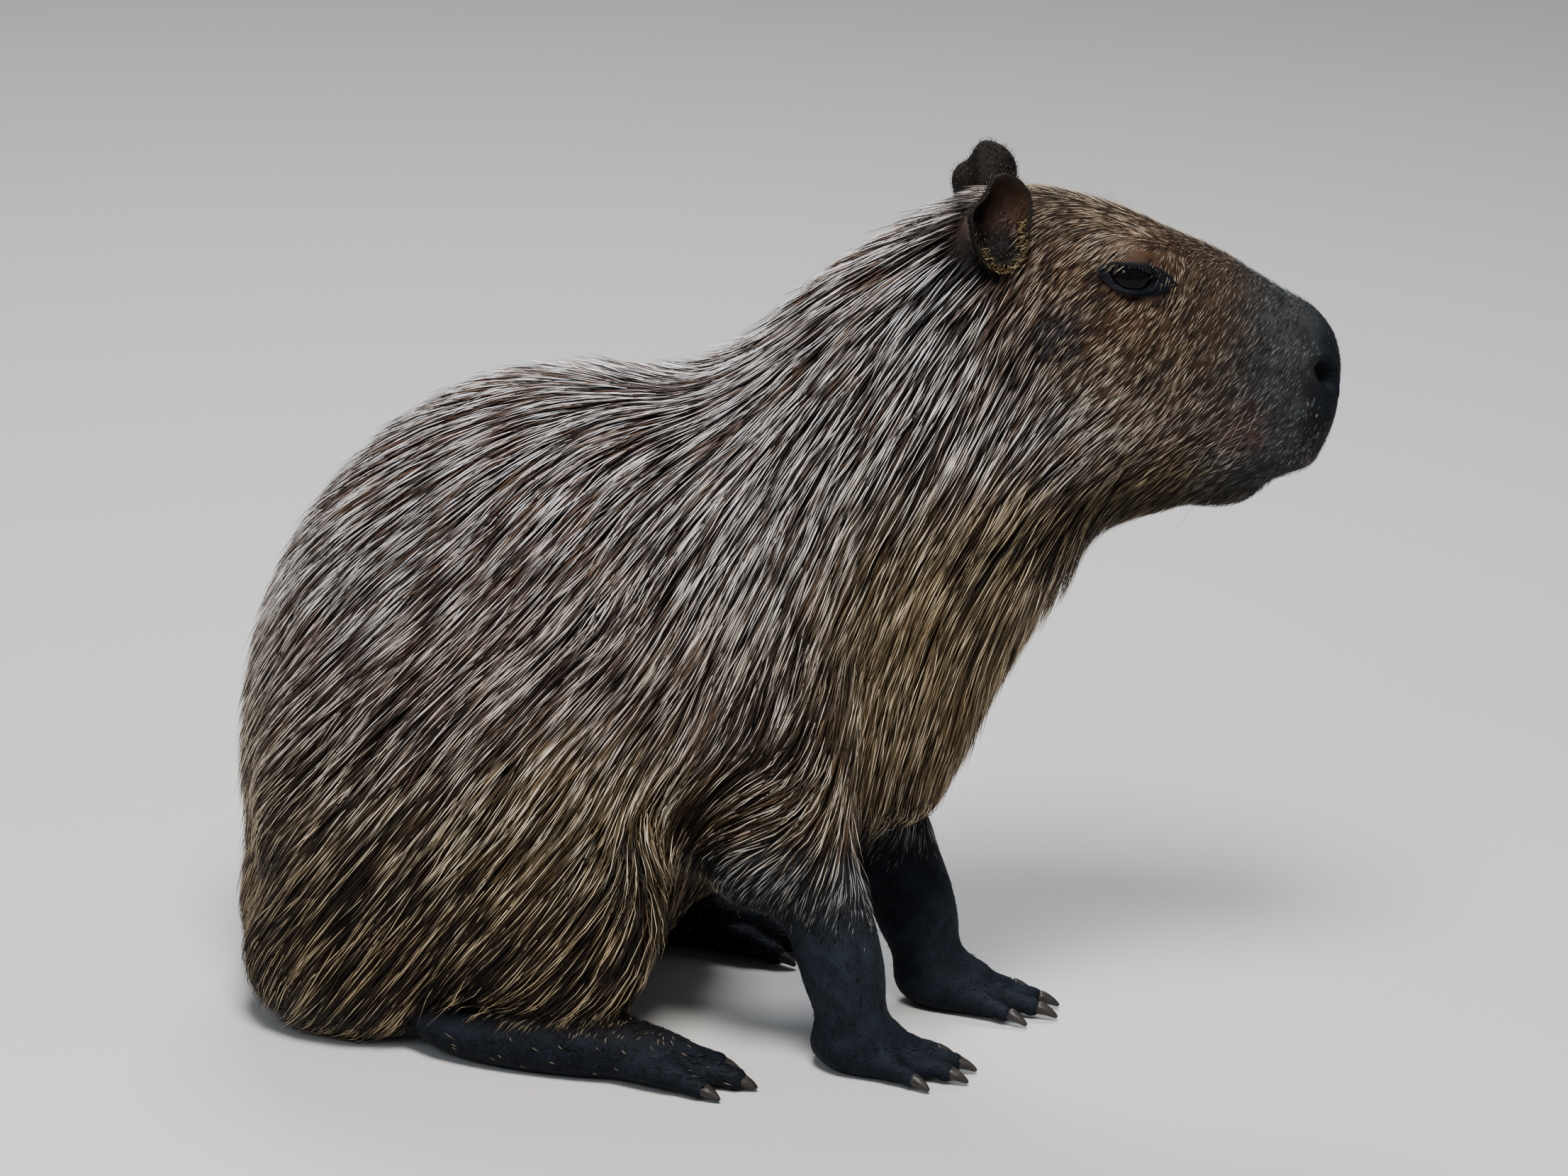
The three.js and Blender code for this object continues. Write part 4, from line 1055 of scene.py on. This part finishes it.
def tip_colours(places):
    """The colours of the pale tips at places on the straight animal."""
    x, _, z = places.T
    colour = np.tile(np.array(STRAW), (len(places), 1))
    # Whiter tips towards the top and warmer ones low down: partly the hairs' own pale tips, partly
    # painted sheen of the light from above.
    colour = paint(colour, 0.9 * smoothstep(z, 190, 270), PALE_ROSE)
    colour = paint(colour, smoothstep(z + 60 * smoothstep(-x, 130, 240), 310, 390), SILVER)
    colour = paint(colour, smoothstep(-z, -230, -110), WARM_STRAW)
    colour = paint(colour, 0.9 * patch(places, (110, 20, 320), (80, 100, 120)), WARM_STRAW)
    colour = paint(colour, 0.8 * patch(places, *THROAT), WARM_STRAW)
    colour = paint(colour, 0.85 * smoothstep(-behind_nape(places), -10, 60), FACE_STRAW)
    colour = paint(colour, 0.7 * smoothstep(z, 440, 490) * (x > 120), DULL_OCHRE)
    colour = paint(colour, 0.9 * patch(places, (222, 40, 384), (70, 70, 30)), OLIVE_TIP)
    colour = paint(colour, smoothstep(x, 250, 300), MUZZLE_GREY)
    colour = paint(colour, patch(places, *BROW), CREAM_TIP)
    colour = paint(colour, 0.9 * smoothstep(-z, -215, -150) * foreleg_share(places), LEG_GREY)
    # Pale tips on the lip front: partly its pale fuzz, partly painted rim light.
    return paint(colour, patch(places, *CHIN), LIP_RIM_LIGHT)


def unwrap(places):
    """The hide laid flat: along the spine and round the body, with the forelegs in a band apart."""
    x, y, z = places.T
    round_body = np.arctan2(y, z - 60 - 0.5 * (x + 300)) / (2 * math.pi) + 0.5
    flat = np.stack([np.clip((x + 360) / 720, 0, 1), 0.02 + 0.78 * round_body], 1)
    round_leg = np.arctan2(y - 66 * np.sign(y), x - 60) / (2 * math.pi) + 0.5
    on_leg = np.stack([np.clip(z / 400 + 0.5 * (y > 0), 0, 1), 0.82 + 0.16 * round_leg], 1)
    legs = foreleg_share(places) > 0.5
    return 0.004 + np.where(legs[:, None], on_leg, flat) * 0.992


def strand_mesh(name, rows, lines, outs, width, marks, tips, pale):
    """Closed three-sided strands joined in one mesh, with their colours and their bake map."""
    shares, thickness = rows
    count, rows = len(lines), len(shares)
    side = unit(np.cross(unit(np.gradient(lines, axis=1)), outs))
    half = (width[:, None] * thickness[None, :])[:, :, None] / 2
    corners = np.stack([lines + side * half, lines + outs * half * 0.9, lines - side * half], 2)
    per = 3 * (rows - 1) + 1
    verts = np.empty((count, per, 3))
    verts[:, : per - 1] = corners[:, :-1].reshape(count, per - 1, 3)
    verts[:, per - 1] = lines[:, -1]
    faces = [(0, 1, 2)]
    for row in range(rows - 2):
        for k in range(3):
            a, b = row * 3 + k, row * 3 + (k + 1) % 3
            faces += [(a, b + 3, b), (a, a + 3, b + 3)]
    top = (rows - 2) * 3
    faces += [(top + k, per - 1, top + (k + 1) % 3) for k in range(3)]
    faces = np.array(faces)
    index = (np.arange(count)[:, None, None] * per + faces[None]).reshape(-1)
    strand = bpy.data.meshes.new(name)
    flat = verts.reshape(-1, 3)
    flat[:, 2] = np.maximum(flat[:, 2], 0.3)
    strand.vertices.add(len(flat))
    strand.vertices.foreach_set("co", in_frame(flat).astype(np.float32).ravel())
    strand.loops.add(len(index))
    strand.loops.foreach_set("vertex_index", index.astype(np.int32))
    polygons = count * len(faces)
    strand.polygons.add(polygons)
    strand.polygons.foreach_set("loop_start", np.arange(polygons, dtype=np.int32) * 3)
    strand.polygons.foreach_set("use_smooth", np.ones(polygons, bool))
    strand.update(calc_edges=True)
    share = np.append(np.repeat(shares, 3)[: per - 1], 1.0)
    set_attribute(strand, "along", np.tile(share, count))
    set_attribute(strand, "mark", np.repeat(marks, per, axis=0))
    set_attribute(strand, "tip", np.repeat(tips, per, axis=0))
    set_attribute(strand, "pale", np.repeat(pale, per))
    across = np.append(np.tile([0, 0.5, 1.0], rows - 1), 0.5)
    corner_uv = np.stack([across - 0.5, share - 0.5], 1) * PATCH
    uv = unwrap(lines[:, 0])[:, None, :] + corner_uv[None]
    layer = strand.uv_layers.new(name="OFBake")
    layer.data.foreach_set("uv", uv.reshape(-1, 2)[index].astype(np.float32).ravel())
    return strand


def coat_material():
    """Each strand is darkened towards its root by painted shade deep in the coat and is brown along its
    middle; many turn pale towards the tip.
    """
    material, tree, shader = new_material("bristle", 0.48, 0.2)
    mark = attribute_node(tree, "mark").outputs["Color"]
    straw = attribute_node(tree, "tip").outputs["Color"]
    along = attribute_node(tree, "along").outputs["Fac"]
    pale = attribute_node(tree, "pale").outputs["Fac"]
    # Painted shade: the ramp darkens each strand towards its root, deep in the coat.
    shade = ramp_node(tree, along, [(0.0, (0.12,) * 3), (1.0, (1.35,) * 3), (0.35, (0.60,) * 3)])
    colour = mix_colour(tree, 1.0, mark, shade, "MULTIPLY")
    tip_share = ramp_node(tree, along, [(0.18, (0.0,) * 3), (0.62, (1.0,) * 3)])
    share = math_node(tree, "MULTIPLY", pale, tip_share)
    colour = mix_colour(tree, share, colour, straw)
    tree.links.new(colour, shader.inputs["Base Color"])
    return material


bristle = coat_material()
coat_count = 0


def add_coat(rows, lines, *columns):
    """Hangs strands on the animal in pieces that each hold few enough triangles."""
    global coat_count
    per_strand = 6 * (len(rows[0]) - 2) + 4
    order = np.argsort(lines[:, 0, 0], kind="stable")
    pieces = math.ceil(len(lines) * per_strand / PIECE_TRIANGLES)
    for part in np.array_split(order, pieces):
        coat_count += 1
        name = f"coat_{coat_count}"
        strand = strand_mesh(name, rows, lines[part], *(values[part] for values in columns))
        strand.materials.append(bristle)
        tuft = scene_object(name, strand)
        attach(tuft, "root")


def in_order(corners):
    """Triangles sorted by where they are, as a ball's own order differs from run to run."""
    first = (skin_places[corners] @ [1, 0.01, 0.0001]).argmin(1)
    corners = np.take_along_axis(corners, (first[:, None] + np.arange(3)) % 3, axis=1)
    return corners[np.lexsort(skin_places[corners].reshape(-1, 9).T)]


triangles = skin_triangles()
middles = skin_places[triangles].mean(1)
edges_a = skin_places[triangles[:, 1]] - skin_places[triangles[:, 0]]
edges_b = skin_places[triangles[:, 2]] - skin_places[triangles[:, 0]]
facing = unit(np.cross(edges_a, edges_b))
density = coat_density(middles)
density[(middles[:, 2] < 5) | ((facing[:, 2] < -0.6) & (middles[:, 2] < 60))] = 0
on_ear = skin_ear[triangles].max(1) > 0
density[on_ear] = 0
long_part = smoothstep(long_share(middles), 0.1, 0.45)
for count, rows, part in ((LONG_STRANDS, LONG, long_part), (SHORT_STRANDS, SHORT, 1 - long_part)):
    roots, _ = sow_roots(count, triangles, density * part)
    long_here = long_share(roots)
    kind = random(count)
    is_pale = kind < pale_chance(roots)
    is_dark = kind > DARK_FROM
    lift = np.select([is_pale, is_dark], TIP_DROPS[:2], TIP_DROPS[2]) + 3.2 * random(count)
    lines, outs = grow(roots, rows[0], lift)
    hold = 0.35 + 0.65 * np.clip(coat_length(roots) / 45, 0, 1)
    for guide_share, least, spread in TUFTS:
        guides = np.flatnonzero(random(count) < guide_share)
        lines, tuft = draw_together(lines, rows[0], guides, (least + spread * random(count)) * hold)
    tuft_light = random(count)[tuft]
    speckle = (random((count, 3)) - 0.5) * (20 - 4 * long_here)[:, None]
    pale = is_pale * (0.5 + 0.5 * random(count))
    blotch = 1.2 - 0.7 * long_here
    # Dark strands: partly dark hairs, partly painted shade between the hairs.
    light = np.where(is_dark, DARK_LIGHT, 0.30 + 0.65 * random(count))
    light = light * (1 + blotch * (tuft_light - 0.5))
    warmth = (0.7 * random(count) + 0.3 * random(count)[tuft] - 0.5)[:, None] * [0.34, 0.0, -0.44] + 1
    marks = markings(roots + speckle) * light[:, None] * warmth
    tips = tip_colours(roots + speckle) * (0.93 + blotch * 0.5 * (tuft_light - 0.5))[:, None]
    tips = np.clip(tips * (0.7 + 0.3 * warmth), 0, 0.98)
    width = coat_width(roots) * np.where(is_pale, 0.58, 0.88) * (0.75 + 0.5 * random(count))
    add_coat(rows, lines, outs, width, marks, tips, pale)

# Short hairs clothe the ears, standing up from their roots towards the rim and out of the cup
ear_triangles = in_order(triangles[on_ear])
roots, normals = sow_roots(EAR_HAIRS, ear_triangles, np.ones(len(ear_triangles)))
ear_sides = np.where(roots[:, 1] >= 0, 1.0, -1.0)
ways = unit(roots - (on_side(EAR_ROOT, ear_sides) - [0, 0, 14]))
ways = unit(ways + normals * 0.35 + (random(roots.shape) - 0.5) * 0.5)
lines, outs = stand_free(roots, ways, 2.2 + 2.4 * random(len(roots)), SHORT[0], 0.0)
marks = np.array(EAR_BLACK) * (0.4 + 1.6 * random(len(roots)))[:, None]
tips = np.tile(np.array(DULL_OCHRE), (len(roots), 1))
pale = (random(len(roots)) < 0.1) * 0.22
add_coat(SHORT, lines, outs, np.full(len(roots), 0.4), marks, tips, pale)

# Tufts of the head's hair stand over the front and foot of each cup
tuft_count = EAR_HAIRS // 6
at = random((tuft_count, 3))
round_cup = math.radians(-160) + math.radians(190) * at[:, 0]
local = np.stack([1 + 19 * np.cos(round_cup), 2 + 5 * at[:, 1], 14 + 27 * np.sin(round_cup)], 1)
ways = [-0.55 * np.cos(round_cup) - 0.4, 0.75 + 0.3 * at[:, 2], -0.25 * np.sin(round_cup) + 0.15]
ways = np.stack(ways, 1)
roots = local @ EAR_TURN.T + EAR_ROOT
ways = (ways + (random(ways.shape) - 0.5) * 0.5) @ EAR_TURN.T
sides = np.where(random(tuft_count) < 0.5, 1.0, -1.0)[:, None] * [0, 1, 0] + [1, 0, 1]
roots, ways = roots * sides, ways * sides
normals, depth = slope_at(roots)
roots = roots - normals * np.clip(depth + 3, 0, 8)[:, None]
lines, outs = stand_free(roots, unit(ways), 8 + 10 * random(tuft_count), LONG[0], 0.2)
marks = np.array(OCHRE) * (0.2 + 0.8 * random(tuft_count))[:, None]
tips = np.tile(np.array(WARM_STRAW), (tuft_count, 1))
pale = (random(tuft_count) < 0.3) * 0.5
add_coat(LONG, lines, outs, np.full(tuft_count, 0.5), marks, tips, pale)

# Whiskers on the muzzle, lashes over the eyes and a few long hairs on the brow
WHISKER_ROWS = [
    (302, 36, 446, 4), (296, 38, 434, 5), (300, 38, 421, 5), (292, 38, 410, 4), (268, 30, 378, 3),
]
LASHES = 16
BROW_HAIRS = 9
hairs = []


def add_hair(side, root, way, length):
    hairs.append((root * [1, side, 1], np.array(way) * [1, side, 1], length))


for side in (1, -1):
    for x, y, z, count in WHISKER_ROWS:
        for k in range(count):
            root = np.array([x - 9 * k + 3 * random(), y, z - 1.5 * k + 3 * random()])
            way = [-0.5 - 0.5 * random(), 0.3 + 0.3 * random(), -0.4 - 0.5 * random()]
            add_hair(side, root, way, 20 + 24 * random())
    for k in range(LASHES):
        along = -15 + 30 * k / (LASHES - 1) + random()
        tilted = np.array([math.cos(LID_TILT), 0, math.sin(LID_TILT)])
        height = LID_OPEN * max(0.1, 1 - (along / LID_HALF) ** 2) ** 0.75 + 1.5
        out = math.sqrt(17**2 - min(15, abs(along)) ** 2) - 2.5
        root = EYE + tilted * along + np.array([0, out, height])
        add_hair(side, root, [along / 40, 0.9, 0.05], 6 + 3 * random())
    for k in range(BROW_HAIRS):
        root = np.array([188 + 3.5 * k, 34 + random() * 4, 541 + random() * 3])
        add_hair(side, root, [-0.5, 0.35, 0.8], 12 + 12 * random())
roots, ways, lengths = (np.array(column) for column in zip(*hairs))
ways = unit(ways)
normals, depth = slope_at(roots)
lashes = np.abs(lengths - 7.5) < 1.6
roots[~lashes] -= (normals * (depth + 2.0)[:, None])[~lashes]
lines, outs = stand_free(roots, ways, lengths, LONG[0], 0.25)
marks = np.tile(np.array(BLACK_BROWN), (len(roots), 1))
tips = np.tile(np.array(STRAW), (len(roots), 1))
pale = (lengths > 19) * 0.4 * (random(len(roots)) < 0.5)
add_coat(LONG, lines, outs, np.full(len(roots), 0.26), marks, tips, pale)

# The floor, the lights and the camera: a plain pale floor, three soft square lamps and a weak even
# light all round, and the camera where the photograph was taken from.
FLOOR_SIZE = 14
WORLD_LIGHT = 0.36
bm = bmesh.new()
bmesh.ops.create_grid(bm, x_segments=1, y_segments=1, size=FLOOR_SIZE / 2)
floor_mesh = mesh_of(bm, "floor")
floor_material, floor_tree, floor_shader = new_material("pale_floor", 0.8, 0.2)
floor_shader.inputs["Base Color"].default_value = (0.42, 0.41, 0.395, 1)
floor_mesh.materials.append(floor_material)
floor = scene_object("floor", floor_mesh)

world = bpy.data.worlds.new("studio")
world.use_nodes = True
sky = world.node_tree.nodes["Background"]
sky.inputs["Color"].default_value = (0.86, 0.90, 0.95, 1)
sky.inputs["Strength"].default_value = WORLD_LIGHT
bpy.context.scene.world = world


def add_light(name, place, aim, size, power, colour):
    light = bpy.data.lights.new(name, "AREA")
    light.shape = "SQUARE"
    light.size = size
    light.energy = power
    light.color = colour
    lamp = bpy.data.objects.new(name, light)
    lamp.location = place
    lamp.rotation_euler = (Vector(aim) - Vector(place)).to_track_quat("-Z", "Y").to_euler()
    bpy.context.scene.collection.objects.link(lamp)


add_light("key", (0.2, -1.6, 3.0), (0, 0, 0.3), 1.0, 245, (1.0, 0.99, 0.97))
add_light("fill", (-0.8, -2.6, 1.9), (0, 0, 0.3), 0.7, 26, (0.80, 0.90, 1.0))
add_light("rim", (-0.5, 1.6, 2.8), (0, 0, 0.35), 1.1, 105, (0.88, 0.92, 1.0))

CAMERA_TURN = math.radians(10)
CAMERA_RISE = math.radians(17.5)
CAMERA_ROLL = math.radians(2.5)
CAMERA_AWAY = 4000
CAMERA_AIM = np.array([0, 0, 294.27])
CAMERA_LENS = 144.67
back = Matrix.Rotation(CAMERA_TURN, 3, "Z") @ Vector((0, -math.cos(CAMERA_RISE), math.sin(CAMERA_RISE)))
level_right = (-back).cross(Vector((0, 0, 1))).normalized()
level_up = level_right.cross(-back)
right = level_right * math.cos(CAMERA_ROLL) + level_up * math.sin(CAMERA_ROLL)
up = level_up * math.cos(CAMERA_ROLL) - level_right * math.sin(CAMERA_ROLL)
aim = Vector((CAMERA_AIM + TO_FRAME) * MM)
lens = bpy.data.cameras.new("camera")
lens.sensor_fit = "HORIZONTAL"
lens.sensor_width = 36
lens.lens = CAMERA_LENS
camera = bpy.data.objects.new("camera", lens)
turn = Matrix((right, up, back)).transposed().to_4x4()
camera.matrix_world = Matrix.Translation(aim + back * CAMERA_AWAY * MM) @ turn
bpy.context.scene.collection.objects.link(camera)
bpy.context.scene.camera = camera
